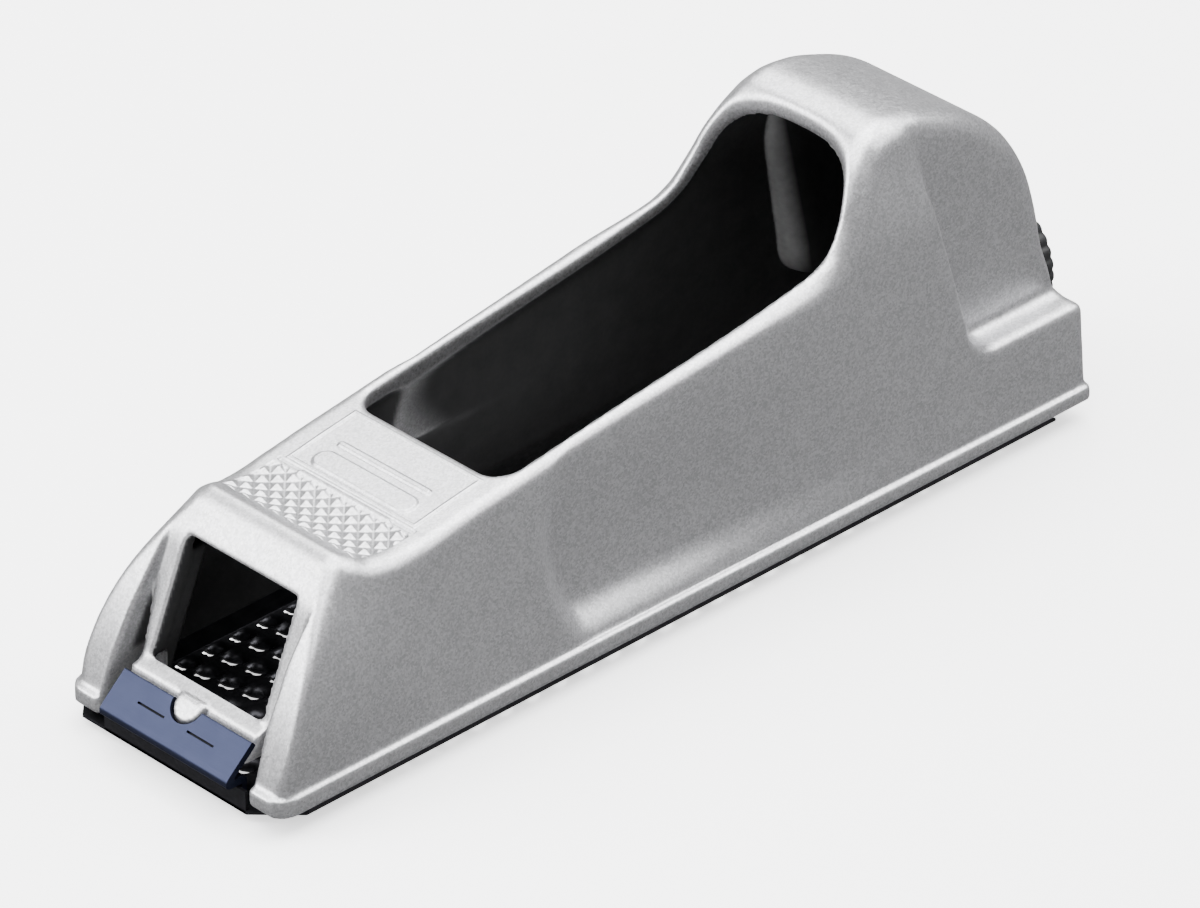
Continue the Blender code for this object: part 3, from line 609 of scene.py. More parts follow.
def refine_deck(mesh):
    """Finer faces where the thumb rest and the panel are."""
    bm = bmesh.new()
    bm.from_mesh(mesh)

    def on_deck(vert):
        s, y, z = vert.co
        within_width = abs(y) < KNURL_HALF_WIDTH + 0.6
        return KNURL_START - 0.6 < s < PANEL_END + 0.6 and within_width and z > DECK_LOWEST

    edges = [e for e in bm.edges if on_deck(e.verts[0]) and on_deck(e.verts[1])]
    bmesh.ops.subdivide_edges(bm, edges=edges, cuts=2, use_grid_fill=True)
    bm.to_mesh(mesh)
    bm.free()


def casting():
    lines = grid_lines()
    field, hollow = casting_fields(*lines)
    points, quads = surface_net(field, lines)
    mesh = bpy.data.meshes.new("casting")
    mesh.from_pydata(points.tolist(), [], quads.tolist())
    refine_deck(mesh)

    points = np.zeros(len(mesh.vertices) * 3)
    mesh.vertices.foreach_get("co", points)
    points = points.reshape(-1, 3)
    points_before_detail = points.copy()
    normals = sample(np.gradient(field, *lines), lines, points)
    normals /= np.linalg.norm(normals, axis=1)[:, None]

    s, y = points[:, 0], points[:, 1]
    on_top = smooth(0.6, 0.85, normals[:, 2]) * (points[:, 2] > DECK_LOWEST) * (s < PALM_FRONT)
    step = 0.02
    slope_s = (deck_detail(s + step, y) - deck_detail(s - step, y)) / (2 * step)
    slope_y = (deck_detail(s, y + step) - deck_detail(s, y - step)) / (2 * step)
    points[:, 2] += deck_detail(s, y) * on_top
    normals[:, 0] -= slope_s * on_top
    normals[:, 1] -= slope_y * on_top
    normals /= np.linalg.norm(normals, axis=1)[:, None]

    # The attribute marks the faces that get painted shade: the inside, the pockets and the window's jambs.
    inside = 1 - smooth(0.2, 0.45, sample([hollow], lines, points_before_detail)[:, 0])
    mesh.attributes.new("inside", "FLOAT", "POINT").data.foreach_set("value", inside)
    origin = np.array(at(0, 0, 0))
    mesh.vertices.foreach_set("co", (points * MM + origin).ravel())
    mesh.update()
    mesh.validate()
    obj = new_object("casting", mesh)
    shade_smooth(obj, None)
    mesh.normals_split_custom_set_from_vertices(normals.tolist())
    return obj


# ---- blade

BLADE_SHEET = 0.5
BLADE_PLATE = -1.9  # underside of the plate
BLADE_HALF_WIDTH = blade_high.y / MM
BLADE_TOE = station(blade_low.x)
BLADE_HEEL = station(blade_high.x)
BLADE_LIP_TOP = 1.7
TOE_LIP_HALF_WIDTH = 14.4
HEEL_LIP_HALF_WIDTH = HOOK_HALF_WIDTH + 4.0
FLANGE_GAPS = ((-2.0, 3.4), (152.2, 160.0))  # stretches of the sides without a flange
FLANGE_GAP_HEIGHTS = (-1.35, 5.0)
TOOTH_FIRST = 3.9
TOOTH_PITCH = 5.095
TOOTH_COLUMNS = 28
TOOTH_ROWS = 10
OUTER_ROW_WIDTH = 3.3
BLADE_FLAT_HALF_WIDTH = BLADE_HALF_WIDTH - 0.3
TOE_CORNERS = {-1: (6.0, 6.0), 1: (1.5, 1.5)}  # cut off the sheet's toe, along and across
TOOTH_SHEAR = 0.16
TOOTH_DEPTH = BLADE_PLATE - height(blade_low.z)
CELL_SIDE = 4  # faces along each side of a tooth's cell


def cell_border():
    """Points round a unit square, CELL_SIDE to a side, from a corner of its heel side."""
    steps = [i / CELL_SIDE - 0.5 for i in range(CELL_SIDE)]
    ring = [(0.5, t) for t in steps] + [(-t, 0.5) for t in steps]
    return ring + [(-0.5, -t) for t in steps] + [(t, -0.5) for t in steps]


def tooth_rings():
    """Rings of (run, across, drop) points from a tooth's hole to the edge of its cell."""
    rings = []
    for share in (0.0, 0.25, 0.55, 1.0):
        ring = []
        for u, v in cell_border():
            turn = math.atan2(v, u)
            heel_side = math.cos(turn)
            hole_u = 0.27 * math.cos(turn) - 0.04 + 0.10 * max(0.0, 1 - abs(math.sin(turn)) * 1.6)
            hole_v = 0.34 * math.sin(turn)
            pressed = max(0.0, heel_side) ** 0.7 * (1 - share) ** 1.6
            ring.append((blend(hole_u, u, share), blend(hole_v, v, share), pressed))
        rings.append(ring)
    return rings


def row_edges(upper):
    """Places across the sheet where one row of teeth ends and the next starts."""
    inner = BLADE_FLAT_HALF_WIDTH - OUTER_ROW_WIDTH
    outer = BLADE_FLAT_HALF_WIDTH - (0.45 if upper else 0.0)
    return [-outer, *np.linspace(-inner, inner, TOOTH_ROWS - 1), outer]


def toothed_plate(bm, upper):
    """The lattice of teeth: one side of the sheet. Returns each tooth's ring round its hole."""
    level = BLADE_PLATE + (BLADE_SHEET if upper else 0.0)
    rings = tooth_rings()
    edges = row_edges(upper)
    holes = []
    for column in range(TOOTH_COLUMNS):
        for y0, y1 in zip(edges, edges[1:]):
            s_middle = TOOTH_FIRST + TOOTH_PITCH * (column + 0.5)
            made = []
            for number, ring in enumerate(rings):
                verts = []
                for u, v, pressed in ring:
                    y = blend(y0, y1, v + 0.5)
                    s = s_middle + TOOTH_PITCH * u - TOOTH_SHEAR * y
                    ground = 0.35 * pressed if upper and number == 0 else 0.0
                    verts.append(bm.verts.new(at(s, y, level - pressed * TOOTH_DEPTH - ground)))
                made.append(verts)
            skin(bm, made, ends=False)
            holes.append(made[0])
    return holes


def plate_margins(bm, upper):
    """Plain strips before the first and behind the last column, and the turned-up flanges."""
    level = BLADE_PLATE + (BLADE_SHEET if upper else 0.0)
    bend = 0.1 if upper else 0.3
    edge = BLADE_HALF_WIDTH - (BLADE_SHEET if upper else 0.0)
    flange = [(edge, height(blade_high.z)), (edge, 0.9), (edge, level + bend)]
    for angle in (30, 60):
        turn = math.radians(angle)
        flange.append((edge - bend * (1 - math.cos(turn)), level + bend * (1 - math.sin(turn))))
    edges = row_edges(upper)
    rows = [blend(a, b, i / CELL_SIDE) for a, b in zip(edges, edges[1:]) for i in range(CELL_SIDE)]
    rows = [-y for y in rows + [edges[-1]]]
    across = flange + [(y, level) for y in rows] + [(-y, z) for y, z in reversed(flange)]
    last = TOOTH_FIRST + TOOTH_PITCH * TOOTH_COLUMNS
    stations = [(BLADE_TOE, 0.0)]
    stations += [(s, TOOTH_SHEAR) for s in np.linspace(TOOTH_FIRST, last, TOOTH_COLUMNS * CELL_SIDE + 1)]
    stations += [(BLADE_HEEL, 0.0)]
    grid = [[bm.verts.new(at(s - lean * y, y, z)) for y, z in across] for s, lean in stations]
    flat_from, flat_to = len(flange), len(across) - len(flange) - 1
    for i in range(len(grid) - 1):
        toothed = 0 < i < len(grid) - 2
        for j in range(len(across) - 1):
            if toothed and flat_from <= j < flat_to:
                continue
            bm.faces.new((grid[i][j], grid[i + 1][j], grid[i + 1][j + 1], grid[i][j + 1]))
    return grid


def join_rims(bm, under, over):
    """The walls of the holes, between the sheet's two sides."""
    for a, b in zip(under, over):
        for i in range(len(a)):
            j = (i + 1) % len(a)
            bm.faces.new((a[i], b[i], b[j], a[j])).material_index = 1


def add_box(bm, s0, s1, y0, y1, z0, z1):
    corners = [at(s, y, z) for s in (s0, s1) for y in (y0, y1) for z in (z0, z1)]
    verts = [bm.verts.new(c) for c in corners]
    for ring in ((0, 1, 3, 2), (4, 6, 7, 5), (0, 4, 5, 1), (2, 3, 7, 6), (0, 2, 6, 4), (1, 5, 7, 3)):
        bm.faces.new([verts[i] for i in ring])


def blade():
    bm = bmesh.new()
    join_rims(bm, toothed_plate(bm, False), toothed_plate(bm, True))
    under, over = plate_margins(bm, False), plate_margins(bm, True)
    for low, high in zip(zip(under, under[1:]), zip(over, over[1:])):
        for j in (0, -1):
            bm.faces.new((low[0][j], low[1][j], high[1][j], high[0][j]))
    for i in (0, -1):
        for j in range(len(under[0]) - 1):
            bm.faces.new((under[i][j], under[i][j + 1], over[i][j + 1], over[i][j]))
    bmesh.ops.remove_doubles(bm, verts=bm.verts, dist=0.005 * MM)
    foot = BLADE_PLATE + 0.1
    for start, half in ((BLADE_TOE, TOE_LIP_HALF_WIDTH), (BLADE_HEEL - BLADE_SHEET, HEEL_LIP_HALF_WIDTH)):
        add_box(bm, start, start + BLADE_SHEET, -half, half, foot, BLADE_LIP_TOP)
    obj = object_from(bm, "rasp_blade", 40.0)
    for material_slot in (black_steel(), ground_steel()):
        obj.data.materials.append(material_slot)
    boolean(obj, flange_cutter())
    boolean(obj, toe_corner_cutter())
    shade_smooth(obj, 40.0)
    keep_finishes(obj.data, [polygon.material_index for polygon in obj.data.polygons])
    return obj


def flange_cutter():
    """Takes the flanges away at the toe and the heel, where the end lips stand."""
    bm = bmesh.new()
    for s0, s1 in FLANGE_GAPS:
        for side in (-1, 1):
            low, high = sorted((side * 19.0, side * 24.0))
            add_box(bm, s0, s1, low, high, *FLANGE_GAP_HEIGHTS)
    return object_from(bm, "flange_cutter", None)


def toe_corner_cutter():
    """Cuts the corners off the sheet's toe."""
    bm = bmesh.new()
    edge = BLADE_HALF_WIDTH + 1.0
    before = BLADE_TOE - 1.0
    for side in (-1, 1):
        along, across = TOE_CORNERS[side]
        outline = [
            (before, BLADE_HALF_WIDTH - across - across / along), (before, edge),
            (BLADE_TOE + along + along / across, edge),
        ]
        skin(bm, [[bm.verts.new(at(s, side * y, z)) for s, y in outline] for z in (-9.0, 9.0)])
    return object_from(bm, "corner_cutter", None)


def apply_modifiers(obj):
    bpy.context.view_layer.update()
    evaluated = obj.evaluated_get(bpy.context.evaluated_depsgraph_get())
    mesh = bpy.data.meshes.new_from_object(evaluated)
    obj.modifiers.clear()
    obj.data = mesh


# ---- toe clip


def rounded(outline, radii, steps=5):
    """Closed outline with each corner turned into an arc; radii go with the corners."""
    made = []
    for i, corner in enumerate(outline):
        here = Vector(corner)
        before = Vector(outline[i - 1]) - here
        after = Vector(outline[(i + 1) % len(outline)]) - here
        opening = before.angle(after)
        reach = min(radii[i] / math.tan(opening / 2), before.length * 0.49, after.length * 0.49)
        start, end = here + before.normalized() * reach, here + after.normalized() * reach
        for step in range(steps + 1):
            t = step / steps
            made.append(tuple(start * (1 - t) ** 2 + here * 2 * t * (1 - t) + end * t**2))
    return made


def prism(name, outline, y0, y1):
    """Side outline of (station, height) points carried across from y0 to y1."""
    bm = bmesh.new()
    skin(bm, [[bm.verts.new(at(s, y, z)) for s, z in outline] for y in (y0, y1)])
    return object_from(bm, name, 30.0)


def boolean(obj, tool, operation="DIFFERENCE"):
    modifier = obj.modifiers.new("cut", "BOOLEAN")
    modifier.operation = operation
    modifier.solver = "EXACT"
    modifier.object = tool
    apply_modifiers(obj)
    bpy.data.objects.remove(tool)


def bevel(obj, width, segments=2, angle=40.0):
    modifier = obj.modifiers.new("bevel", "BEVEL")
    modifier.width = width * MM
    modifier.segments = segments
    modifier.limit_method = "ANGLE"
    modifier.angle_limit = math.radians(angle)
    modifier.harden_normals = True


def plate_point(run, lift, y):
    """Place counted up the plate from its upper edge, out of the plate, and across it."""
    s = PLATE_TOP[0] + PLATE_S * run - PLATE_Z * lift
    return at(s, y, PLATE_TOP[1] + PLATE_Z * run + PLATE_S * lift)


def plate_tool(name, outline, depth):
    """Cuts into the plate's top face; the outline lists places up the plate and across it."""
    bm = bmesh.new()
    skin(bm, [[bm.verts.new(plate_point(run, lift, y)) for run, y in outline] for lift in (-depth, 1.0)])
    return object_from(bm, name, None)


def notch_tool():
    """The round notch that the casting's nib fits into."""
    radius = NIB_RADIUS + GAP
    bottom = arc((0.0, 0.0), radius, 270, 90, 16)
    return plate_tool("notch", [(3.0, -radius)] + bottom + [(3.0, radius)], 1.8)


def mark_tool(y_middle):
    """A short line pressed into the plate."""
    corners = ((-1, -1), (-1, 1), (1, 1), (1, -1))
    outline = [(MARK_RUN + MARK_HALF_WIDTH * a, y_middle + MARK_HALF_LENGTH * b) for a, b in corners]
    return plate_tool("mark", outline, MARK_DEPTH)


def toe_clip():
    """Bent sheet: the plate on the crossbar, a rounded bend, and a web and flange below the bar."""
    under_bend = (PLATE_BEND[0] + PLATE_Z + 0.15, PLATE_BEND[1] - PLATE_S + 0.1)
    toe = station(clip_low.x)
    foot = height(clip_low.z)
    outline = [
        PLATE_TOP, PLATE_BEND, (toe, 3.35), (toe, 2.5), (-0.9, 2.05), (1.3, 2.05), (1.3, foot),
        (2.2, foot), (2.2, 3.1), (-0.2, 3.1), under_bend, under_plate(CLIP_SHEET),
    ]
    radii = [0.25, 3.4, 0.9, 0.5, 0.5, 0.15, 0.2, 0.2, 0.9, 0.2, 0.9, 0.25]
    half = clip_high.y / MM
    clip = prism("toe_clip_plate", rounded(outline, radii), -half, half)
    boolean(clip, notch_tool())
    bevel(clip, 0.16, 3, 50.0)
    apply_modifiers(clip)
    for side in (-1, 1):
        boolean(clip, mark_tool(side * MARK_MIDDLE))
    flat_normals(clip)
    # Faces in the pressed lines get the second finish: painted shade in the grooves.
    numbers = []
    for polygon in clip.data.polygons:
        s, z = station(polygon.center.x), height(polygon.center.z)
        run, lift = plate_frame(s, z)
        pressed = abs(run - MARK_RUN) < MARK_HALF_WIDTH + 0.02 and -MARK_DEPTH * 1.1 < lift < -0.05
        numbers.append(int(pressed and abs(polygon.center.y) / MM < MARK_MIDDLE + MARK_HALF_LENGTH + 0.3))
    keep_finishes(clip.data, numbers)
    return clip


def flat_normals(obj):
    """Shading normals weighted by face area, so that large flat faces stay flat."""
    mesh = obj.data
    bm = bmesh.new()
    bm.from_mesh(mesh)
    bmesh.ops.dissolve_degenerate(bm, edges=bm.edges, dist=1e-6)
    bm.normal_update()
    sharp = math.radians(48.0)
    normals = []
    for face in bm.faces:
        face.smooth = True
        for loop in face.loops:
            normals.append(corner_normal(loop, sharp))
    bm.to_mesh(mesh)
    bm.free()
    mesh.normals_split_custom_set(normals)


def corner_normal(loop, sharp):
    """Area-weighted normal of the faces round a corner that lie within the sharp angle."""
    own = loop.face.normal
    total = Vector((0.0, 0.0, 0.0))
    for face in loop.vert.link_faces:
        if face.normal.length > 0 and own.angle(face.normal, 0.0) < sharp:
            total += face.normal * face.calc_area()
    return total.normalized() if total.length > 0 else own


# ---- turned pieces


def turned(name, profile, shape, sides):
    """Body round the screw's axis. profile lists (station, radius) and shape bends each ring."""
    bm = bmesh.new()
    rings = []
    for s, radius in profile:
        ring = []
        for i in range(sides):
            turn = 2 * math.pi * i / sides
            r = shape(s, radius, turn)
            ring.append(bm.verts.new(at(s, r * math.cos(turn), SCREW_HEIGHT + r * math.sin(turn))))
        rings.append(ring)
    skin(bm, rings)
    return object_from(bm, name)


def round_shape(s, radius, turn):
    return radius


def hexagon_shape(s, radius, turn):
    flat = radius * math.cos(math.pi / 6) / math.cos(turn % (math.pi / 3) - math.pi / 6)
    return min(flat, radius * 0.985)


KNOB_FRONT = station(knob_low.x)
KNOB_REAR = station(knob_high.x)
KNOB_RADIUS = knob_high.y / MM
KNOB_FLUTES = 32
KNOB_SIDES = KNOB_FLUTES * 8
HEAD_RADIUS = 4.4
HEAD_SEAT = 161.1


def knob():
    def fluted(s, radius, turn):
        depth = 0.3 * smooth(KNOB_RADIUS - 2.4, KNOB_RADIUS - 0.4, radius)
        return radius - depth * (0.5 - 0.5 * math.cos(KNOB_FLUTES * turn)) ** 2

    corner = 0.8
    profile = [(KNOB_FRONT, KNOB_RADIUS - 2.6), (KNOB_FRONT, KNOB_RADIUS - 1.4)]
    profile += arc((KNOB_FRONT + corner, KNOB_RADIUS - corner), corner, 180, 90, 5)
    profile += arc((KNOB_REAR - 1.0, KNOB_RADIUS - 1.0), 1.0, 90, 15, 6)
    dish = 6.8
    profile += [(KNOB_REAR, KNOB_RADIUS - 1.9), (KNOB_REAR, dish + 0.5), (KNOB_REAR - 0.15, dish)]
    profile += [(KNOB_REAR - 0.45, dish - 0.4), (KNOB_REAR - 0.5, dish - 1.0)]
    made = turned("knob_grip", profile, fluted, KNOB_SIDES)
    bore = SCREW_RADIUS + GAP
    boolean(made, turned("bore", [(KNOB_FRONT - 1, bore), (HEAD_SEAT + 0.1, bore)], round_shape, 48))
    socket = HEAD_RADIUS + GAP * 1.3
    boolean(made, turned("socket", [(HEAD_SEAT, socket), (KNOB_REAR + 1, socket)], hexagon_shape, 72))
    bevel(made, 0.12, 2)
    return made


def screw():
    """Threaded rod with a hexagon head at its heel end and a groove for the retaining ring."""
    front, rear = station(screw_low.x), station(screw_high.x)
    pitch, depth = 0.8, 0.42
    groove = (154.7, 156.1)
    head = HEAD_SEAT + GAP

    def threaded(s, radius, turn):
        if s > groove[0] - 0.3:
            return radius
        crest = 1 - abs(2 * ((s / pitch - turn / (2 * math.pi)) % 1.0) - 1)
        return radius - depth * (1 - min(1.0, crest * 1.25)) * smooth(front, front + 0.9, s)

    profile = [(s, SCREW_RADIUS - 0.5 * (1 - smooth(front, front + 0.7, s)))
               for s in np.arange(front, groove[0] - 0.25, pitch / 8)]
    profile += [(groove[0] - 0.15, SCREW_RADIUS), (groove[0], 2.35), (groove[0], 2.0), (groove[1], 2.0)]
    profile += [(groove[1], 2.35), (groove[1] + 0.15, SCREW_RADIUS), (head, SCREW_RADIUS)]
    rod = turned("screw_rod", profile, threaded, 48)
    cap = [(head - 0.02, HEAD_RADIUS - 0.35), (head + 0.2, HEAD_RADIUS), (rear - 0.35, HEAD_RADIUS)]
    cap += [(rear - 0.1, HEAD_RADIUS - 0.25), (rear, HEAD_RADIUS - 0.7)]
    boolean(rod, turned("screw_head", cap, hexagon_shape, 72), "UNION")
    shade_smooth(rod, 28.0)
    return rod


# ---- materials


class Nodes:
    """A material's node tree, with short ways to add and link nodes."""

    def __init__(self, name):
        self.material = bpy.data.materials.new(name)
        self.material.use_nodes = True
        self.tree = self.material.node_tree
        self.shader = self.tree.nodes["Principled BSDF"]
        self.place = self.add("ShaderNodeTexCoord").outputs["Object"]

    def add(self, kind, **settings):
        node = self.tree.nodes.new(kind)
        for name, value in settings.items():
            setattr(node, name, value)
        return node

    def link(self, source, target):
        self.tree.links.new(source, target)

    def noise(self, scale, detail=3.0, stretch=None):
        node = self.add("ShaderNodeTexNoise")
        node.inputs["Scale"].default_value = scale
        node.inputs["Detail"].default_value = detail
        place = self.place
        if stretch:
            mapping = self.add("ShaderNodeMapping")
            mapping.inputs["Scale"].default_value = stretch
            self.link(place, mapping.inputs["Vector"])
            place = mapping.outputs["Vector"]
        self.link(place, node.inputs["Vector"])
        return node.outputs["Fac"]

    def flakes(self, scale):
        """A random value for each tiny cell, for metal flake."""
        node = self.add("ShaderNodeTexVoronoi")
        node.inputs["Scale"].default_value = scale
        self.link(self.place, node.inputs["Vector"])
        split = self.add("ShaderNodeSeparateColor")
        self.link(node.outputs["Color"], split.inputs["Color"])
        return split.outputs[0]

    def remap(self, value, low, high, to_low, to_high):
        node = self.add("ShaderNodeMapRange")
        self.link(value, node.inputs["Value"])
        sockets = ("From Min", "From Max", "To Min", "To Max")
        for name, number in zip(sockets, (low, high, to_low, to_high)):
            node.inputs[name].default_value = number
        return node.outputs["Result"]

    def mix(self, share, a, b):
        node = self.add("ShaderNodeMix", data_type="RGBA")
        for target, colour in ((node.inputs[6], a), (node.inputs[7], b)):
            if isinstance(colour, tuple):
                target.default_value = (*colour, 1.0)
            else:
                self.link(colour, target)
        self.link(share, node.inputs["Factor"])
        return node.outputs[2]

    def sum(self, a, b, share):
        """Weighted sum of two values; share is the first one's weight."""
        return self.math("ADD", self.math("MULTIPLY", a, share), self.math("MULTIPLY", b, 1 - share))

    def facing(self, axis):
        """How far the surface faces along one of the object's own axes, -1 to 1."""
        split = self.add("ShaderNodeSeparateXYZ")
        self.link(self.add("ShaderNodeTexCoord").outputs["Normal"], split.inputs["Vector"])
        return split.outputs[axis]

    def math(self, operation, a, b):
        node = self.add("ShaderNodeMath", operation=operation)
        for target, value in zip(node.inputs, (a, b)):
            if isinstance(value, (int, float)):
                target.default_value = value
            else:
                self.link(value, target)
        return node.outputs[0]

    def bump(self, value, distance, strength=1.0, before=None):
        node = self.add("ShaderNodeBump")
        node.inputs["Distance"].default_value = distance * MM
        node.inputs["Strength"].default_value = strength
        self.link(value, node.inputs["Height"])
        if before:
            self.link(before, node.inputs["Normal"])
        return node.outputs["Normal"]

    def set(self, **sockets):
        for name, value in sockets.items():
            socket = self.shader.inputs[name.replace("_", " ")]
            if isinstance(value, bpy.types.NodeSocket):
                self.link(value, socket)
            elif isinstance(value, tuple):
                socket.default_value = (*value, 1.0)
            else:
                socket.default_value = value
        return self.material


def casting_finish():
    """Satin silver paint with metal flake and a faint orange peel; the inside, the pockets and the
    window's jambs are near black, which is painted shade.

    Painted light greys the black faces that look towards the toe, as the toe lamp lights them.
    """
    made = Nodes("casting_finish")
    inside = made.add("ShaderNodeAttribute", attribute_name="inside").outputs["Fac"]
    flake = made.flakes(3600.0)
    patches = made.noise(180.0, 2.0)
    tone = made.sum(flake, patches, 0.75)
    silver = made.mix(tone, (0.36, 0.36, 0.371), (0.62, 0.62, 0.635))
    # Painted shade: near black for the inside, the pockets and the window's jambs, which stand in shade.
    black = made.mix(made.noise(260.0, 4.0), (0.016, 0.016, 0.0165), (0.028, 0.028, 0.029))
    # Painted light: a lighter grey for those faces where they look towards the toe.
    grey = made.mix(made.noise(900.0, 4.0), (0.24, 0.24, 0.243), (0.38, 0.38, 0.385))
    toe_light_share = made.remap(made.facing("X"), -0.9, -0.4, 1.0, 0.0)
    colour = made.mix(inside, silver, made.mix(toe_light_share, black, grey))
    peel = made.bump(made.noise(900.0, 2.0), 0.02, 0.5)
    grain = made.bump(made.noise(3200.0, 2.0), 0.012, 0.6, peel)
    gloss = made.remap(made.noise(1500.0, 2.0), 0.3, 0.7, 0.34, 0.43)
    roughness = made.math("ADD", gloss, made.math("MULTIPLY", inside, 0.18))
    return made.set(
        Base_Color=colour, Metallic=made.remap(inside, 0.0, 1.0, 0.92, 0.0), Roughness=roughness,
        Specular_IOR_Level=made.remap(inside, 0.0, 1.0, 0.5, 0.1), Normal=grain,
    )


def black_steel():
    """Blackened spring steel with faint rolling marks."""
    made = Nodes("black_steel")
    marks = made.noise(420.0, 4.0, (0.25, 3.0, 3.0))
    colour = made.mix(marks, (0.012, 0.012, 0.014), (0.035, 0.035, 0.040))
    rough = made.remap(made.noise(1600.0, 2.0), 0.3, 0.7, 0.28, 0.45)
    texture = made.bump(marks, 0.015, 0.5)
    return made.set(Base_Color=colour, Metallic=0.85, Roughness=rough, Normal=texture)


def ground_steel():
    """Bare cut edges of the teeth."""
    made = Nodes("cut_steel")
    streaks = made.noise(2600.0, 3.0, (3.0, 0.6, 0.6))
    colour = made.mix(streaks, (0.03, 0.03, 0.031), (0.15, 0.15, 0.155))
    rough = made.remap(streaks, 0.2, 0.8, 0.22, 0.4)
    return made.set(Base_Color=colour, Metallic=1.0, Roughness=rough)


def blue_steel():
    """Blue-grey plated sheet with fine brushing along the bend."""
    made = Nodes("blue_steel")
    brush = made.noise(1500.0, 3.0, (4.0, 0.15, 4.0))
    patches = made.noise(240.0, 3.0)
    tone = made.sum(brush, patches, 0.5)
    colour = made.mix(tone, (0.012, 0.0145, 0.030), (0.023, 0.027, 0.050))
    rough = made.remap(brush, 0.2, 0.8, 0.30, 0.44)
    texture = made.bump(brush, 0.01, 0.5)
    return made.set(
        Base_Color=colour, Metallic=0.85, Roughness=rough, Specular_IOR_Level=0.2, Normal=texture
    )


def groove_shade_steel():
    """Painted shade: the same sheet made near black in the pressed lines, for the shade inside these
    grooves.
    """
    made = Nodes("groove_shade_steel")
    colour = made.mix(made.noise(900.0, 3.0), (0.001, 0.001, 0.002), (0.004, 0.004, 0.006))
    return made.set(Base_Color=colour, Metallic=0.0, Roughness=0.6, Specular_IOR_Level=0.1)


def zinc_steel():
    """Bright zinc plating with a fine spangle."""
    made = Nodes("zinc_steel")
    spangle = made.flakes(1400.0)
    cloud = made.noise(500.0, 3.0)
    tone = made.sum(spangle, cloud, 0.35)
    colour = made.mix(tone, (0.50, 0.51, 0.54), (0.72, 0.72, 0.74))
    rough = made.remap(cloud, 0.3, 0.7, 0.24, 0.4)
    return made.set(Base_Color=colour, Metallic=1.0, Roughness=rough, Normal=made.bump(cloud, 0.01, 0.4))


def black_plastic():
    """Moulded plastic with a spark-eroded grain."""
    made = Nodes("black_plastic")
    grain = made.noise(2400.0, 3.0)
    colour = made.mix(made.noise(300.0, 2.0), (0.006, 0.006, 0.0065), (0.012, 0.012, 0.013))
    rough = made.remap(grain, 0.3, 0.7, 0.42, 0.58)
    texture = made.bump(grain, 0.03, 0.6)
    return made.set(
        Base_Color=colour, Metallic=0.0, Roughness=rough, Specular_IOR_Level=0.3, Normal=texture
    )


def floor_finish():
    made = Nodes("studio_floor")
    colour = made.mix(made.noise(6.0, 2.0), (0.86, 0.86, 0.865), (0.88, 0.88, 0.885))
    return made.set(
        Base_Color=colour, Metallic=0.0, Roughness=0.9, Emission_Color=colour, Emission_Strength=1.5
    )


# ---- object


def dress(obj, body, slot, node, *finishes):
    obj.data.materials.clear()
    for finish in finishes:
        obj.data.materials.append(finish)
    if "finish" in obj.data.attributes:
        numbers = np.zeros(len(obj.data.polygons), dtype=np.int32)
        obj.data.attributes["finish"].data.foreach_get("value", numbers)
        obj.data.polygons.foreach_set("material_index", numbers)
    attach(obj, body)
    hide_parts(node)


EDGES_OF_CAD_NODES = {"heel_hook": 0.18, "square_nut": 0.12, "knob_washer": 0.1, "retaining_ring": 0.08}


def finish_cad_node(name, finish, width):
    """Keeps a CAD node's own shape, welded, with its edges broken."""
    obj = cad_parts[name]
    obj.data.materials.clear()
    obj.data.materials.append(finish)
    weld = obj.modifiers.new("weld", "WELD")
    weld.merge_threshold = 0.001 * MM
    bevel(obj, width, 2, 30.0)


def make_pieces():
    dress(casting(), "root", "silver_casting", "body_casting", casting_finish())
    dress(blade(), "root", "black_steel", "blade", black_steel(), ground_steel())
    dress(toe_clip(), "clip", "blue_steel", "toe_clip", blue_steel(), groove_shade_steel())
    dress(knob(), "knob", "black_plastic", "tension_knob", black_plastic())
    zinc = zinc_steel()
    dress(screw(), "knob", "zinc_steel", "tension_screw", zinc)
    for name, edge in EDGES_OF_CAD_NODES.items():
        finish_cad_node(name, zinc, edge)


# ---- studio

CAMERA_AZIMUTH = -44.05
CAMERA_ELEVATION = 31.45
CAMERA_DISTANCE = 1.237
CAMERA_LENS = 264.9
CAMERA_TARGET = at(79.5, 0.0, 20.0)
CAMERA_SHIFT = (0.00675, -0.0249)


def aim(obj, azimuth, elevation, distance):
    """Puts a camera or a light round the object, looking at it; the angles are in degrees."""
    turn, rise = math.radians(azimuth), math.radians(elevation)
    flat = math.cos(rise)
    back = Vector((math.sin(turn) * flat, -math.cos(turn) * flat, math.sin(rise)))
    obj.location = CAMERA_TARGET + back * distance
    obj.rotation_euler = (-back).to_track_quat("-Z", "Y").to_euler()


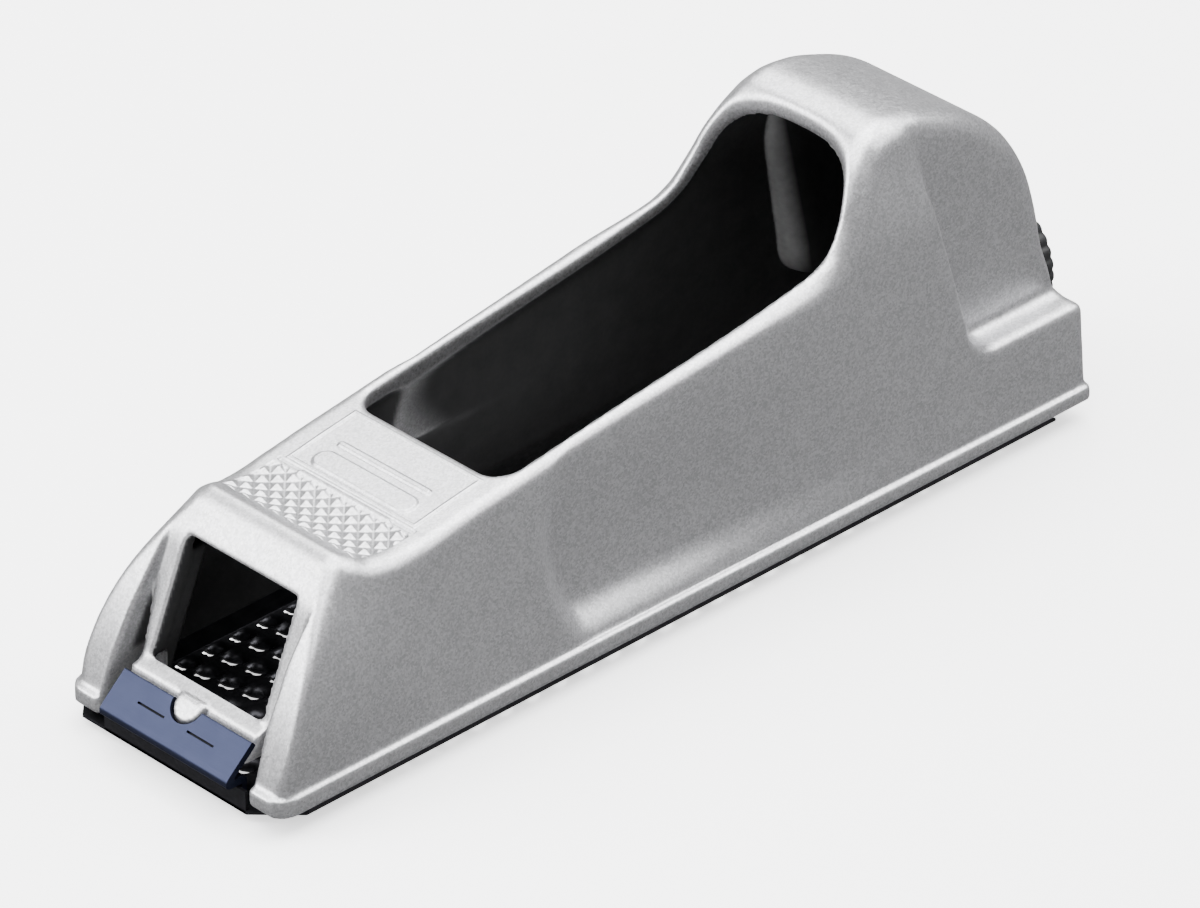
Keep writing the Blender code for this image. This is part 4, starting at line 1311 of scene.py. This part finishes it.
def camera():
    data = bpy.data.cameras.new("camera")
    data.lens = CAMERA_LENS
    data.sensor_width = 36.0
    data.shift_x, data.shift_y = CAMERA_SHIFT
    data.clip_start, data.clip_end = 0.01, 20.0
    obj = new_object("camera", data)
    aim(obj, CAMERA_AZIMUTH, CAMERA_ELEVATION, CAMERA_DISTANCE)
    bpy.context.scene.camera = obj


def soft_light(name, azimuth, elevation, distance, size, watts):
    data = bpy.data.lights.new(name, "AREA")
    data.shape = "RECTANGLE"
    data.size, data.size_y = size
    data.energy = watts
    obj = new_object(name, data)
    aim(obj, azimuth, elevation, distance)


def surroundings():
    """A plain room: brightest a little above the horizon, dimmer below and overhead."""
    world = bpy.data.worlds.new("studio")
    world.use_nodes = True
    tree = world.node_tree
    place = tree.nodes.new("ShaderNodeTexCoord")
    split = tree.nodes.new("ShaderNodeSeparateXYZ")
    ramp = tree.nodes.new("ShaderNodeValToRGB")
    tree.links.new(place.outputs["Generated"], split.inputs["Vector"])
    height_share = tree.nodes.new("ShaderNodeMapRange")
    height_share.inputs["From Min"].default_value = -1.0
    tree.links.new(split.outputs["Z"], height_share.inputs["Value"])
    tree.links.new(height_share.outputs["Result"], ramp.inputs["Fac"])
    levels = ((0.0, 0.17), (0.24, 0.22), (0.42, 0.33), (0.54, 0.45), (0.66, 0.14), (1.0, 0.2))
    elements = ramp.color_ramp.elements
    for number, (place_on_ramp, level) in enumerate(levels):
        point = elements[number] if number < 2 else elements.new(place_on_ramp)
        point.position = place_on_ramp
        point.color = (level, level, level * 1.015, 1.0)
    tree.links.new(ramp.outputs["Color"], tree.nodes["Background"].inputs["Color"])
    return world


def studio():
    bpy.ops.mesh.primitive_plane_add(size=8.0, location=(0.0, 0.0, cad_box[0].z - 0.0002))
    floor = bpy.context.object
    floor.name = "floor"
    floor.data.materials.append(floor_finish())
    floor.visible_glossy = False
    bpy.context.scene.world = surroundings()
    soft_light("toe_softbox", -128.0, 30.0, 1.0, (0.8, 0.7), 20.0)
    soft_light("heel_softbox", 108.0, 58.0, 1.1, (1.5, 0.6), 24.0)
    soft_light("side_softbox", 48.0, 40.0, 1.1, (0.7, 0.5), 7.0)
    soft_light("top_softbox", -90.0, 84.0, 1.3, (1.4, 1.4), 60.0)


make_pieces()
studio()
camera()
